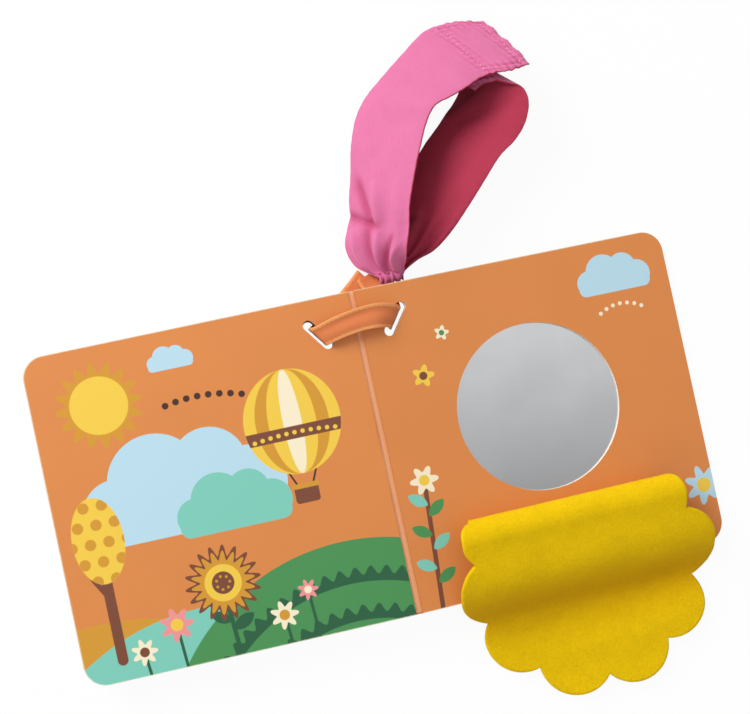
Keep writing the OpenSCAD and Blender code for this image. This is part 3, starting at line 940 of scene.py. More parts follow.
class PrintedBoard:
    """Satin print on white board: the two pages, the covers and the block, with white cut edges."""

    ROUGHNESS = 0.42

    def __init__(self) -> None:
        """Builds the four prints."""
        tilt, slope = BOOK.tilt, BOOK.slope
        low = (BOOK.mid_x, BOOK.mid_y, 0.0)
        self.left_page = self.board("left page print", low, tilt, self.left_picture, self.inside_picture)
        self.right_page = self.board("right page print", low, -slope, self.right_picture, self.inside_picture)
        self.front = self.board("front cover print", low, tilt, self.inside_picture, self.cover_picture)
        self.back = self.board("back cover print", low, -slope, self.inside_picture, self.back_picture)

    def board(
        self,
        name: str,
        moved: Sequence[float],
        turn: float,
        upper: Callable[[Drawing], None],
        lower: Callable[[Drawing], None],
    ) -> bpy.types.Material:
        """A board with a print on its upper and its lower face.

        Args:
            name: The material's name.
            moved: The way from the part's origin to the gutter's middle.
            turn: The board's turn about Y, in radians, which foreshortens it.
            upper: Draws the upper print.
            lower: Draws the lower print.

        Returns:
            The material.
        """
        paint = Paint(name)
        place = paint.place(moved)
        x, y, z = paint.parts(place)
        flat = paint.node("ShaderNodeCombineXYZ", values={0: x * (1 / math.cos(turn)), 1: y})
        normal = paint.node("ShaderNodeTexCoord", output="Normal")
        _, _, facing = paint.parts(normal)
        cloud = paint.noise(flat, 0.035, 3.0)
        ground = paint.tinted(Ink.ORANGE.value, cloud * 0.1 + 0.95)
        pictures = []
        for draw in (upper, lower):
            drawing = Drawing(paint, flat, ground)
            draw(drawing)
            pictures.append(drawing.colour)
        printed = paint.mix(pictures[1], pictures[0], facing.over(0.0, 0.1))
        # A pale rim along the boards' edges: edge wear, and a painted highlight on the edge.
        rim_x = (x.size() - (BOOK.page_w - BOOK.corner_r)).larger(0.0)
        rim_y = (y.size() - (BOOK.head_y - BOOK.corner_r)).larger(0.0)
        corner = (rim_x * rim_x + rim_y * rim_y) ** 0.5
        uneven = paint.noise(flat, 0.9, 2.0) * 0.28
        rim = (corner + uneven).over(BOOK.corner_r - 0.12, 0.3) * 0.55
        printed = paint.mix(printed, Ink.CREAM.value, rim)
        layers = (z * 9.0 + paint.noise(place, 0.8, 2.0) * 1.6).sin() * 0.5 + 0.5
        fibres = paint.noise(place, 6.0, 3.0, 0.7)
        core = paint.mix(ink(248, 244, 236), ink(226, 218, 204), (layers * 0.35 + fibres * 0.5).held())
        edge = facing.size().under(0.5, 0.06)
        colour = paint.mix(printed, core, edge)
        skin = paint.noise(flat, 2.2, 2.0, 0.55)
        grain = paint.mix(
            paint.node("ShaderNodeCombineXYZ", values={0: skin * 0.25, 1: skin * 0.25, 2: skin * 0.25}),
            paint.node("ShaderNodeCombineXYZ", values={0: fibres, 1: fibres, 2: fibres}),
            edge,
        )
        height, _, _ = paint.parts(grain)
        rough = skin * 0.1 + (self.ROUGHNESS - 0.05) + edge * 0.35
        return paint.finish(
            Base_Color=colour,
            Roughness=rough,
            IOR=1.45,
            Coat_Roughness=0.35,
            Coat_Weight=(1 - edge) * 0.12,
            Normal=paint.bump(height, 0.05, 0.5),
        )

    @staticmethod
    def left_picture(d: Drawing) -> None:
        """Hills with a cloud, a balloon, a tree and flowers, for the left page."""
        d.layer(Ink.OCHRE, d.petals(-96.0, 38.0, 15.5, 2.0, 16))
        d.layer(Ink.YELLOW, d.circle(-96.0, 38.0, 10.4))
        d.layer(Ink.LIGHT_BLUE, d.cloud(-72.0, -2.0, 22.0))
        d.layer(Ink.MINT, d.cloud(-56.0, -9.0, 12.5))
        d.layer(Ink.LIGHT_BLUE, d.cloud(-68.0, 48.0, 5.0))
        d.layer(Ink.DARK_BROWN, d.arc_dots(-62.0, -20.0, 54.0, 66.0, 104.0, 9, 1.2))
        d.layer(Ink.OCHRE, d.circle(-112.0, -134.0, 96.0))
        d.layer(Ink.MINT, d.circle(-76.0, -122.0, 82.0))
        d.layer(Ink.GREEN, d.circle(-22.0, -106.0, 78.0))
        for inner, outer, teeth in ((62.5, 68.0, 74), (49.0, 54.5, 58)):
            band = d.petals(-22.0, -106.0, outer, 1.5, teeth) * (1 - d.circle(-22.0, -106.0, inner))
            d.layer(Ink.DARK_GREEN, band)
        d.layer(Ink.BROWN, d.stick(-106.0, -52.0, -106.0, -20.0, 1.9))
        d.layer(Ink.BROWN, d.stick(-106.0, -30.0, -110.5, -22.0, 0.9))
        crown = d.oval(-106.0, -9.0, 9.2, 15.5)
        d.layer(Ink.YELLOW, crown)
        d.layer(Ink.OCHRE, d.spots(6.6, 2.0) * crown)
        for side in (-1, 1):
            d.layer(Ink.DARK_BROWN, d.stick(-30.0 + side * 2.8, -5.0, -30.0 + side * 9.2, 10.0, 0.34))
        balloon = d.oval(-30.0, 18.0, 17.5, 19.0)
        d.layer(Ink.YELLOW, balloon)
        for half, colour in ((13.2, Ink.OCHRE), (8.6, Ink.YELLOW), (3.4, Ink.CREAM)):
            d.layer(colour, balloon * d.oval(-30.0, 18.0, half, 19.0))
        d.layer(Ink.BROWN, balloon * d.block(-30.0, 14.0, 20.0, 2.3, 0.4))
        d.layer(Ink.YELLOW, balloon * d.arc_dots(-30.0, -86.0, 100.0, 79.0, 101.0, 13, 0.8))
        d.layer(Ink.BROWN, d.block(-30.0, -8.2, 4.4, 3.4, 1.2))
        d.layer(Ink.OCHRE, d.block(-30.0, -5.4, 5.0, 0.9, 0.8))
        d.layer(Ink.DARK_GREEN, d.stick(-66.0, -38.0, -64.5, -64.0, 0.8))
        d.leaf(-65.4, -50.0, 9.0, 28.0, Ink.DARK_GREEN)
        d.leaf(-65.6, -47.0, 8.0, 150.0, Ink.DARK_GREEN)
        d.layer(Ink.BROWN, d.petals(-66.0, -33.0, 13.6, 2.0, 18))
        d.layer(Ink.OCHRE, d.petals(-66.0, -33.0, 11.4, 1.7, 18))
        d.layer(Ink.YELLOW, d.circle(-66.0, -33.0, 6.6))
        d.layer(Ink.BROWN, d.circle(-66.0, -33.0, 4.0))
        d.layer(Ink.OCHRE, d.arc_dots(-66.0, -33.0, 2.4, -180.0, 180.0, 7, 0.5))
        for x, y, radius, petal, heart in (
            (-85.0, -44.0, 6.2, Ink.PINK, Ink.YELLOW),
            (-47.0, -49.0, 5.2, Ink.CREAM, Ink.OCHRE),
            (-98.0, -51.0, 4.8, Ink.CREAM, Ink.BROWN),
            (-37.0, -42.0, 3.8, Ink.PINK, Ink.CREAM),
        ):
            d.layer(Ink.DARK_GREEN, d.stick(x, y, x + 1.2, -64.0, 0.55))
            d.flower(x, y, radius, petal, heart, 7)

    @staticmethod
    def right_picture(d: Drawing) -> None:
        """A cloud, a leafy sprig and a few flowers round the mirror, for the right page."""
        d.layer(Ink.LIGHT_BLUE, d.cloud(99.0, 44.0, 8.6))
        d.layer(Ink.CREAM, d.arc_dots(99.0, 20.0, 15.0, 52.0, 128.0, 7, 0.75))
        d.layer(Ink.BROWN, d.stick(9.0, -62.0, 12.0, -16.0, 0.85))
        for y, turn, colour in (
            (-50.0, 30.0, Ink.GREEN),
            (-45.0, 152.0, Ink.MINT),
            (-38.0, 34.0, Ink.MINT),
            (-33.0, 148.0, Ink.GREEN),
            (-26.0, 38.0, Ink.GREEN),
            (-22.0, 144.0, Ink.MINT),
        ):
            d.leaf(9.0 + (y + 62.0) * 0.065, y, 8.0, turn, colour)
        d.flower(12.2, -13.0, 5.4, Ink.CREAM, Ink.YELLOW, 6)
        d.flower(20.0, 24.0, 4.2, Ink.YELLOW, Ink.BROWN, 5)
        d.flower(30.0, 38.0, 2.8, Ink.CREAM, Ink.GREEN, 5)
        d.flower(116.0, -38.0, 7.5, Ink.LIGHT_BLUE, Ink.YELLOW, 7)

    @staticmethod
    def inside_picture(d: Drawing) -> None:
        """A plain field with a few pale dots, for the faces that the photograph doesn't show."""
        d.layer(Ink.YELLOW, d.spots(17.0, 1.7) * 0.5)

    @staticmethod
    def cover_picture(d: Drawing) -> None:
        """A large sun over a hill, for the front cover."""
        d.layer(Ink.LIGHT_BLUE, d.cloud(-88.0, 34.0, 11.0))
        d.layer(Ink.OCHRE, d.petals(-60.0, 2.0, 33.0, 2.6, 18))
        d.layer(Ink.YELLOW, d.circle(-60.0, 2.0, 24.0))
        d.layer(Ink.GREEN, d.circle(-60.0, -118.0, 82.0))
        d.layer(Ink.MINT, d.spots(9.0, 1.6) * d.circle(-60.0, -118.0, 78.0))

    @staticmethod
    def back_picture(d: Drawing) -> None:
        """A cloud over a hill, for the back cover."""
        d.layer(Ink.LIGHT_BLUE, d.cloud(62.0, 12.0, 16.0))
        d.layer(Ink.GREEN, d.circle(60.0, -122.0, 84.0))
        d.layer(Ink.MINT, d.spots(9.0, 1.6) * d.circle(60.0, -122.0, 80.0))


class MirrorSilver:
    """Silvered film, very slightly wavy, with a soft reflection."""

    def __init__(self) -> None:
        """Builds the material."""
        paint = Paint("silvered film")
        place = paint.place()
        haze = paint.noise(place, 0.05, 3.0)
        specks = paint.noise(place, 3.0, 4.0, 0.7).over(0.78, 0.05)
        self.material = paint.finish(
            Base_Color=paint.mix(ink(226, 227, 228), ink(212, 213, 215), haze),
            Metallic=1.0,
            Roughness=haze * 0.08 + 0.16 + specks * 0.1,
            Normal=paint.bump(paint.noise(place, 0.03, 1.0), 0.25, 0.5),
        )


class FeltWool:
    """Pressed felt: short matted fibres, slightly uneven in colour, with painted shade in its dip."""

    DIP_V = 62.0
    DIP_W = 11.0

    def __init__(self) -> None:
        """Builds the felt and its loose fibres."""
        self.material = self.matted()
        paint = Paint("felt fibre")
        self.fibre = paint.finish(
            Base_Color=paint.mix(ink(232, 186, 0), ink(250, 212, 0), paint.noise(paint.place(), 0.6)),
            Roughness=0.85,
        )

    def matted(self) -> bpy.types.Material:
        """The felt itself."""
        paint = Paint("yellow felt")
        place = paint.place()
        wool = paint.noise(place, 1.1, 5.0, 0.75)
        streaks = paint.node(
            "ShaderNodeTexNoise",
            values={"Vector": place, "Scale": 0.9, "Detail": 4.0, "Roughness": 0.7, "Distortion": 2.4},
            output="Fac",
        )
        patches = paint.noise(place, 0.16, 2.0)
        lit = paint.mix(ink(236, 184, 0), ink(255, 219, 0), (wool * 1.5 + streaks * 0.9 - 0.7).held())
        _, along = paint.cloth_map()
        # Painted shade: the colour darkens towards ink (206, 132, 0) across the dip, where the valley lies in
        # shade.
        dip = (along - self.DIP_V) * (1 / self.DIP_W)
        painted_dip_shade = (dip * dip * -1.0).math("EXPONENT")
        colour = paint.mix(paint.tinted(lit, patches * 0.14 + 0.93), ink(206, 132, 0), painted_dip_shade * 0.5)
        height = wool * 0.6 + streaks * 0.7
        return paint.finish(
            Base_Color=colour,
            Roughness=wool * 0.1 + 0.85,
            Specular_IOR_Level=0.15,
            Sheen_Weight=0.1,
            Sheen_Roughness=0.6,
            Sheen_Tint=ink(255, 214, 40),
            Normal=paint.bump(height, 0.5, 0.9),
        )


@dataclass(frozen=True)
class WovenCotton:
    """Plain-weave cotton on the cloth's own coordinates, with painted shade in its creases and a painted
    highlight along its hems, where these are given.
    """

    name: str
    light: Rgb
    dark: Rgb
    yarn: float
    sheen: Rgb
    # The hem colour is a painted highlight along both folded rims, from a place across the cloth outwards.
    hem: Rgb | None = None
    rim_highlight_from: float = 3.4
    # Painted shade: the creases darken the colour towards the shadow colour by a share.
    creases: Sequence[Fold] = ()
    shadow: Rgb = (0.0, 0.0, 0.0)
    painted_crease_share: float = 0.62

    def build(self) -> bpy.types.Material:
        """The material."""
        paint = Paint(self.name)
        along, across = paint.cloth_map()
        place = paint.place()
        wander = paint.noise(place, 0.5, 2.0) - 0.5
        step = 2 * math.pi / self.yarn
        warp = ((along + wander * 0.25) * step).sin()
        weft = ((across + wander * 0.25) * step).sin()
        weave = warp * weft * 0.5 + 0.5
        slub = paint.noise(
            paint.node("ShaderNodeCombineXYZ", values={0: along * 0.25, 1: across * 2.0}), 1.0, 3.0, 0.6
        )
        cloudy = paint.noise(place, 0.12, 3.0)
        shade = (weave * 0.35 + slub * 0.5 + cloudy * 0.35 - 0.1).held()
        colour = paint.mix(self.dark, self.light, shade)
        # Painted highlight: the colour lightens towards the hem colour near both rims.
        if self.hem:
            colour = paint.mix(colour, self.hem, across.size().over(self.rim_highlight_from, 0.5) * 0.75)
        # Painted shade: each crease darkens the colour towards the shadow colour.
        for fold in self.creases:
            colour = paint.mix(colour, self.shadow, fold.shade(along, across) * self.painted_crease_share)
        fuzz = paint.noise(place, 2.5, 3.0, 0.65)
        return paint.finish(
            Base_Color=colour,
            Roughness=slub * 0.1 + 0.78,
            Sheen_Weight=0.25,
            Sheen_Roughness=0.45,
            Sheen_Tint=self.sheen,
            Normal=paint.bump(weave * 0.7 + fuzz * 0.5 + slub * 0.3, 0.09, 0.7),
        )


def spine_print() -> bpy.types.Material:
    """The plain print of the card spine."""
    paint = Paint("spine print")
    grain = paint.noise(paint.place(), 2.2, 2.0)
    return paint.finish(
        Base_Color=paint.tinted(Ink.ORANGE.value, grain * 0.08 + 0.96),
        Roughness=0.45,
        Normal=paint.bump(grain, 0.04, 0.4),
    )


def creased_paper() -> bpy.types.Material:
    """Printed paper that is paler along the gutter's middle."""
    paint = Paint("creased paper")
    x, _, _ = paint.parts(paint.place((BOOK.mid_x, 0.0, 0.0)))
    # Paler towards the gutter's middle.
    nearness = (x.size() + paint.noise(paint.place(), 1.2, 3.0) * 0.5).under(0.75, 0.7)
    return paint.finish(
        Base_Color=paint.mix(ink(222, 142, 88), ink(236, 166, 124), nearness),
        Roughness=0.5,
        Normal=paint.bump(paint.noise(paint.place(), 3.0, 3.0), 0.06, 0.5),
    )


def thread(name: str, colour: Rgb) -> bpy.types.Material:
    """Spun sewing thread."""
    paint = Paint(name)
    place = paint.place()
    twist = paint.noise(place, 4.0, 2.0)
    return paint.finish(
        Base_Color=paint.tinted(colour, twist * 0.3 + 0.85),
        Roughness=0.6,
        Sheen_Weight=0.2,
        Normal=paint.bump(twist, 0.05, 0.5),
    )


# ---- the soft pieces


# How far each side's scallops are moved in and back, from the widest one: left, then right.
UNEVEN = {
    False: ((0.0, 3.0), (0.0, 0.0), (0.0, 0.0)),
    True: ((0.0, 4.0), (2.8, 2.4), (0.0, 0.0)),
}


@dataclass
class FeltFlower:
    """The felt flower that folds back from the mirror."""

    felt_t: float = 1.6
    tab_t: float = 0.8
    tab_w: float = 76.0
    tab_x: float = 61.0
    tab_flare: float = 5.0
    right_less: float = 6.0
    waist: tuple[float, float] = (3.0, 8.0)
    swell_from: tuple[float, float] = (8.0, 14.0)
    corner_r: float = 6.0
    low_shift: float = 1.6
    bulge: float = 4.4
    bulge_v: float = 48.0
    valley_v: float = 68.0
    lobe_rise: float = 2.6
    tab_l: float = 9.0
    slit_y: float = 35.6
    flower_r: float = 49.0
    notch_r: float = 42.0
    flower_v: float = 44.2
    flower_x: float = 64.0
    roll_r: float = 4.9
    felt_fall: float = 27.0
    felt_lean: float = 62.0
    lean_r: float = 4.6
    land_r: float = 14.0
    tab_bend: float = 1.0
    droop_l: float = 36.0
    scallop_n: int = 10
    rings: int = 62
    fan_n: int = 150
    row_step: float = 0.72
    soft_rim: float = 0.4

    def __post_init__(self) -> None:
        """Works out the side view and the scallops."""
        self.half = 180 / self.scallop_n
        half = math.radians(self.half)
        r, n = self.flower_r, self.notch_r
        self.scallop_d = (r * r - n * n) / (2 * (r - n * math.cos(half)))
        self.scallop_r = r - self.scallop_d
        arc = math.pi / 180
        pocket = self.tab_t + 2 * BOOK.glue_gap
        turn = 90 + self.felt_lean + self.felt_fall
        rise = [
            (self.tab_l, 0.0),
            (self.tab_bend * 90 * arc, 90.0),
            (BOOK.ply_t, 0.0),
            (self.lean_r * self.felt_lean * arc, -self.felt_lean),
            (self.roll_r * turn * arc, turn),
        ]
        self.start = (-self.slit_y - self.tab_bend - self.tab_l, BOOK.inner_z - BOOK.ply_t - pocket / 2)
        self.path = rise
        self.crest_v = sum(s[0] for s in rise) - self.roll_r * self.felt_fall * arc
        _, top, _ = self.walk(np.array([sum(s[0] for s in rise)]))
        right = self.flower_x + self.flower_r
        table = (right * math.sin(BOOK.slope) - BOOK.hinge_z) / math.cos(BOOK.slope)
        land = table + self.felt_t / 2 + BOOK.cloth_gap
        fall = math.radians(self.felt_fall)
        drop = self.start[1] + float(top[0]) - land - self.land_r * (1 - math.cos(fall))
        self.path = rise + [
            (drop / math.sin(fall), 0.0),
            (self.land_r * self.felt_fall * arc, -self.felt_fall),
            (self.flower_r, 0.0),
        ]
        self.flap_right = right
        self.slit_v = self.tab_l + self.tab_bend * 45 * arc
        self.centre_v = self.slit_v + self.flower_v

    def walk(self, v: np.ndarray) -> tuple[np.ndarray, np.ndarray, np.ndarray]:
        """The side view: place along Y, height and heading at each length along the felt."""
        y, z, h = np.zeros_like(v), np.zeros_like(v), np.zeros_like(v)
        py = pz = ph = run = 0.0
        for index, (length, turned) in enumerate(self.path):
            last = index == len(self.path) - 1
            inside = (v >= run) if last else (v >= run) & (v <= run + length)
            step = math.radians(turned / length)
            for target, amount in ((inside, v - run), (None, np.array([length]))):
                a0 = math.radians(ph)
                if abs(step) < 1e-6:
                    dy, dz = amount * math.cos(a0), amount * math.sin(a0)
                else:
                    dy = (np.sin(a0 + step * amount) - math.sin(a0)) / step
                    dz = (math.cos(a0) - np.cos(a0 + step * amount)) / step
                if target is None:
                    py, pz = py + float(dy[0]), pz + float(dz[0])
                else:
                    y[target], z[target] = (py + dy)[target], (pz + dz)[target]
                    h[target] = np.degrees(a0 + step * amount)[target]
            ph, run = ph + turned, run + length
        return y, z, h

    def scallop_half_w(self, v: np.ndarray, side: int) -> np.ndarray:
        """How far the flower reaches on one side, at a length along the felt."""
        best = np.zeros_like(v)
        for k in range(3):
            a = math.radians(2 * self.half * k)
            less_u, less_v = UNEVEN[side > 0][k]
            off = self.centre_v - self.scallop_d * math.sin(a) - less_v - v
            rest = self.scallop_r ** 2 - (off if k else np.maximum(off, 0)) ** 2
            reach = self.scallop_d * math.cos(a) - less_u + np.sqrt(np.maximum(rest, 0))
            best = np.where(rest > 0, np.maximum(best, reach), best)
        return best

    def edge_u(self, v: np.ndarray, side: int) -> np.ndarray:
        """The felt's edge on one side."""
        short = np.clip((self.crest_v + 0.5 - v) / self.corner_r, 0, 1)
        flare = self.tab_flare if side < 0 else 0.0
        past = np.clip((v - self.crest_v - self.waist[0]) / self.waist[1], 0, 1)
        less = self.right_less if side > 0 else 0.0
        tab = self.tab_w / 2 + flare * (np.sqrt(1 - short * short) - past * past) - less
        return side * np.maximum(tab + side * (self.tab_x - self.flower_x), self.scallop_half_w(v, side))

    def scallop_radius(self, angle: np.ndarray) -> np.ndarray:
        """The flower's radius at an angle in degrees."""
        a = angle % (2 * self.half)
        b = np.radians(np.minimum(a, 2 * self.half - a))
        return self.scallop_d * np.cos(b) + np.sqrt(self.scallop_r ** 2 - (self.scallop_d * np.sin(b)) ** 2)

    def place(self, flat: np.ndarray, side: float) -> np.ndarray:
        """Points of the felt in the part's frame, from its flat coordinates.

        Args:
            flat: Places across and along the felt.
            side: 1 for its upper face, -1 for its lower face and 0 between them.

        Returns:
            The points.
        """
        u, v = flat[:, 0], flat[:, 1]
        wy, wz, wh = self.walk(v)
        heading = np.radians(wh)
        thick = np.where(v < self.slit_v + self.tab_bend * 45 * math.pi / 180, self.tab_t, self.felt_t)
        lift = side * thick / 2 - self.swell(u, v)
        y = self.start[0] + wy - lift * np.sin(heading)
        z = self.start[1] + wz + lift * np.cos(heading)
        x = self.flower_x + u + self.low_shift * np.clip((v - self.centre_v) / self.flower_r, 0, 1)
        past = np.clip((-BOOK.head_y - 1 - y) / self.droop_l, 0, 1)
        droop = np.where(v < self.centre_v - self.flower_v / 2, 0.0, past * past * (3 - 2 * past))
        points = BOOK.on_right(x, y, z)
        points[:, 2] -= droop * (self.flap_right - x) * math.sin(BOOK.slope)
        return points

    def swell(self, u: np.ndarray, v: np.ndarray) -> np.ndarray:
        """Soft unevenness of the felt, out of its sheet."""
        free = np.clip((v - self.slit_v - self.swell_from[0]) / self.swell_from[1], 0, 1)
        across = u / self.flower_r
        crown = self.bulge * np.exp(-(((v - self.bulge_v) / 12.5) ** 2)) * (1 - 0.2 * across ** 2)
        past = np.clip((v - self.valley_v + 5.0 * across) / 17, 0, 1)
        lobes = self.lobe_rise * past * past * (3 - 2 * past)
        wave = 0.2 * ripple(u / 3.2, v / 3.2, 5)
        rim = 0.3 * (1 + np.sin(u / 11.0 + 0.8)) * past
        return free * (crown + lobes + wave + rim)

    def sheet(self) -> Sheet:
        """The closed felt, with its two faces and a soft edge."""
        first = self.slit_v + 0.4
        rows = np.concatenate(
            [
                [0.0, 3.0, 6.0, self.tab_l - 0.1, self.tab_l + 0.3, self.slit_v],
                np.linspace(first, self.centre_v, int((self.centre_v - first) / self.row_step) + 1),
            ]
        )
        rings = self.rings
        ranks = np.arange(-rings, rings + 1)
        spacing = np.sign(ranks) * (np.abs(ranks) / rings)
        grid, count = [], 2 * rings + 1
        left, right = self.edge_u(rows, -1), self.edge_u(rows, 1)
        for i, v in enumerate(rows):
            reach = np.where(spacing < 0, -(left[i] + self.soft_rim), right[i] - self.soft_rim)
            u = spacing * reach
            grid.append(np.stack([u, np.full(count, v)], axis=1))
        angles = np.arange(1, self.fan_n) * 180 / self.fan_n
        radii = self.scallop_radius(angles)
        shares = np.arange(1, rings + 1) / rings
        reach = (radii - self.soft_rim)[:, None] * shares
        rad = np.radians(angles)[:, None]
        fan = np.stack([-reach * np.cos(rad), self.centre_v + reach * np.sin(rad)], axis=2)
        flat = np.concatenate([np.concatenate(grid), fan.reshape(-1, 2)])
        base, fan0 = (len(rows) - 1) * count, len(rows) * count
        centre = base + rings

        def spoke(i: int, j: int) -> int:
            """A point of the fan, by its spoke and its ring."""
            if j == 0:
                return centre
            if i == 0:
                return centre - j
            return centre + j if i == self.fan_n else fan0 + (i - 1) * rings + j - 1

        faces = []
        for i in range(len(rows) - 1):
            for j in range(count - 1):
                p = i * count + j
                faces.append([p, p + 1, p + count + 1, p + count])
        for i in range(self.fan_n):
            faces.append([centre, spoke(i + 1, 1), spoke(i, 1)])
            for j in range(1, rings):
                faces.append([spoke(i, j), spoke(i + 1, j), spoke(i + 1, j + 1), spoke(i, j + 1)])
        edge = (
            [i * count for i in range(len(rows))]
            + [spoke(i, rings) for i in range(1, self.fan_n)]
            + [i * count + count - 1 for i in reversed(range(len(rows)))]
            + list(range(count - 2, 0, -1))
        )
        rim_flat = flat[edge].copy()
        inward = rim_flat - np.array([0.0, self.centre_v])
        ends = (np.arange(len(edge)) >= 2 * len(rows) + self.fan_n - 1) | (rim_flat[:, 1] < 0.1)
        straight = (rim_flat[:, 1] < self.centre_v)[:, None]
        growth = np.where(straight, np.sign(inward) * [1.0, 0.0], unit(inward + 1e-9))
        growth[ends] = 0.0
        rim_flat = rim_flat + growth * self.soft_rim
        total = len(flat)
        points = np.concatenate([self.place(flat, 1), self.place(flat, -1), self.place(rim_flat, 0)])
        lower = [[a + total for a in reversed(f)] for f in faces]
        walls = []
        n = len(edge)
        for i in range(n):
            k = (i + 1) % n
            walls.append([edge[i], edge[k], 2 * total + k, 2 * total + i])
            walls.append([2 * total + i, 2 * total + k, edge[k] + total, edge[i] + total])
        cloth = np.concatenate([flat, flat, rim_flat])
        return Sheet(points, faces + lower + walls, cloth)

    def build(self, wool: FeltWool) -> bpy.types.Object:
        """Makes the felt and its loose fibres, on the back cover."""
        felt = self.sheet().build("felt_flower", wool.material)
        nap = Nap(density=0.42, length=1.1, thickness=0.016, lean=1.35, seed=11)
        fibres = nap.grow("felt_fibres", felt, wool.fibre)
        anchor = BOOK.on_right(np.array([60.0]), np.array([0.0]), np.array([BOOK.inner_z + 0.5]))[0] * MM
        for piece in (felt, fibres):
            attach(piece, Body.BACK.value)
            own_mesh(piece)
        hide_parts("felt_flap")
        area = self.flat_area()
        LOG.info("felt flower, %.0f square mm, with its crest at %.1f mm", area, self.crest_v)
        return felt

    def flat_area(self) -> float:
        """The felt's flat area in square millimetres."""
        v = np.linspace(0, self.centre_v, 400)
        upper = area_under(self.edge_u(v, 1) - self.edge_u(v, -1), v)
        angle = np.linspace(0, 180, 721)
        return upper + area_under(self.scallop_radius(angle) ** 2 / 2, np.radians(angle))


@dataclass
class Tape:
    """The folded cotton tape that runs through the slots and holds the loop."""

    width: float = 9.0
    arch_h: float = 4.2
    sides: int = 40
    per_mm: float = 2.6
    hem_in: float = 1.15

    def band(self) -> Band:
        """The tape's stations: tail, left slot, arch, right slot and tail."""
        b = BOOK
        z = b.tape_t / 2 + b.glue_gap
        bay = b.hinge_z + b.outer_z - b.slot_x * math.sin(b.slope)
        turn, x, y, page, h = 90 + b.slot_angle, b.slot_x, b.slot_y, b.page_z, self.arch_h
        rows = [
            [8, b.head_y + 4.5, z, turn, 0, 1],
            [3.5, b.head_y + 0.5, z, turn, 0, 1],
            [-x / 2, y + 5, z, turn, 0, 1],
            [3 - x, y + 1.8, z, turn, 0, 1],
            [0.5 - x, y, z + 0.6, turn, 0, 1],
            [-x, y - 0.4, z + 3, turn, 0, 1],
            [-x, y - 0.5, page - 3, turn, 0, 1],
            [-x, y - 0.8, page + 0.6, turn, 0, 0.98],
            [1.6 - x, y - 0.6, page + 0.6 * h, 120, 8, 0.92],
            [-6, y + 1, page + 0.95 * h, 106, 8, 0.92],
            [1.5, y + 2.1, page + h, 94, 4, 0.94],
            [8, y + 2.2, page + 0.8 * h, 78, 0, 1],
            [x - 1.6, y + 1.3, page + 0.2 * h, 60, 0, 1],
            [x, y + 0.5, bay + 1.4, 90 - b.slot_angle, 0, 1],
            [x + 0.2, y + 0.4, bay - 1.2, 90 - b.slot_angle, 0, 1],
            [x - 0.2, y + 2.6, bay - 3.2, 40, 0, 1],
            [x - 1.6, y + 8, bay - 4.6, 24, 0, 1],
            [10, b.head_y + 1.4, 2.4 * b.tape_t + b.glue_gap, 18, 0, 1],
            [8.6, b.head_y + 5.5, 1.8 * b.tape_t + b.glue_gap, 20, 0, 1],
        ]
        return Band(np.array(rows, float), self.width, True)

    def relief(self, along: np.ndarray, across: np.ndarray, arch: np.ndarray) -> np.ndarray:
        """How far the tape's middle is pushed out of its plane."""
        cup = -0.5 * np.exp(-(((across - 1.6) / 1.5) ** 2)) * arch
        roll = 0.3 * np.exp(-(((across + 1.6) / 1.8) ** 2)) * arch
        return cup + roll + 0.06 * ripple(along / 1.3, across / 1.3, 3)

    def section(self, u: np.ndarray, run: np.ndarray) -> tuple[np.ndarray, np.ndarray]:
        """Rings of the tape and their cloth coordinates."""
        centre, across, face, share = self.band().frames(u)
        a = 2 * math.pi * (np.arange(self.sides) + 0.5) / self.sides
        c, s = np.cos(a), np.sin(a)
        w = c * self.width / 2
        arch = np.exp(-(((u - 10) / 2.2) ** 2))[:, None]
        hem = 0.16 * np.clip((np.abs(w) - self.width / 2 + 1.6) / 0.5, 0, 1)
        seam = -0.12 * np.exp(-(((np.abs(w) - self.width / 2 + self.hem_in) / 0.3) ** 2))
        half = np.sign(s) * np.abs(s) ** 0.5 * BOOK.tape_t / 2 + np.sign(s) * (hem + seam)
        lift = half[None, :] + self.relief(run[:, None], w[None, :], arch)
        points = (
            centre[:, None, :]
            + across[:, None, :] * (w[None, :] * share[:, None])[:, :, None]
            + face[:, None, :] * lift[:, :, None]
        )
        cloth = np.stack(np.broadcast_arrays(run[:, None], w[None, :]), axis=2)
        return BOOK.in_frame(points), cloth

    def seams(self, u: np.ndarray, run: np.ndarray) -> list[np.ndarray]:
        """Four lines of stitches, near both rims on both faces."""
        rings, _ = self.section(u, run)
        a = 2 * math.pi * (np.arange(self.sides) + 0.5) / self.sides
        w = np.cos(a) * self.width / 2
        lines = []
        for target in (-1, 1):
            for face in (-1, 1):
                order = [j for j in range(self.sides) if np.sign(np.sin(a[j])) == face]
                order.sort(key=lambda j: w[j])
                goal = target * (self.width / 2 - self.hem_in)
                k = int(np.searchsorted([w[j] for j in order], goal))
                j0, j1 = order[max(k - 1, 0)], order[min(k, len(order) - 1)]
                t = (goal - w[j0]) / (w[j1] - w[j0])
                lines.append(rings[:, j0] * (1 - t) + rings[:, j1] * t)
        return lines

    def build(self, cotton: bpy.types.Material, sewing: bpy.types.Material) -> None:
        """Makes the tape in five lengths that meet at the slots and over the gutter."""
        band = self.band()
        last = len(band.stations) - 1
        stops = {"tail_left": 0.0, "slot_left": 4.3, "arch_left": 6.85, "arch_right": 9.7, "tail_right": 12.9}
        names, cuts = list(stops), [*stops.values(), float(last)]
        offset = 0.0
        for name, u0, u1 in zip(names, cuts[:-1], cuts[1:]):
            length = band.lengths(np.linspace(u0, u1, 2000))[-1]
            count = max(int(length * self.per_mm), 12)
            u, run = band.even(u0, u1, count)
            rings, cloth = self.section(u, run + offset)
            caps = (name == "tail_left", name == "tail_right")
            piece = tube(rings, cloth, caps).build("tape_" + name, cotton)
            seams = self.seams(u, run + offset)
            stitches = Stitching(1.7, 1.3, 0.2).sew("tape_stitches_" + name, seams, sewing)
            self.attach(name, piece, stitches)
            offset += length

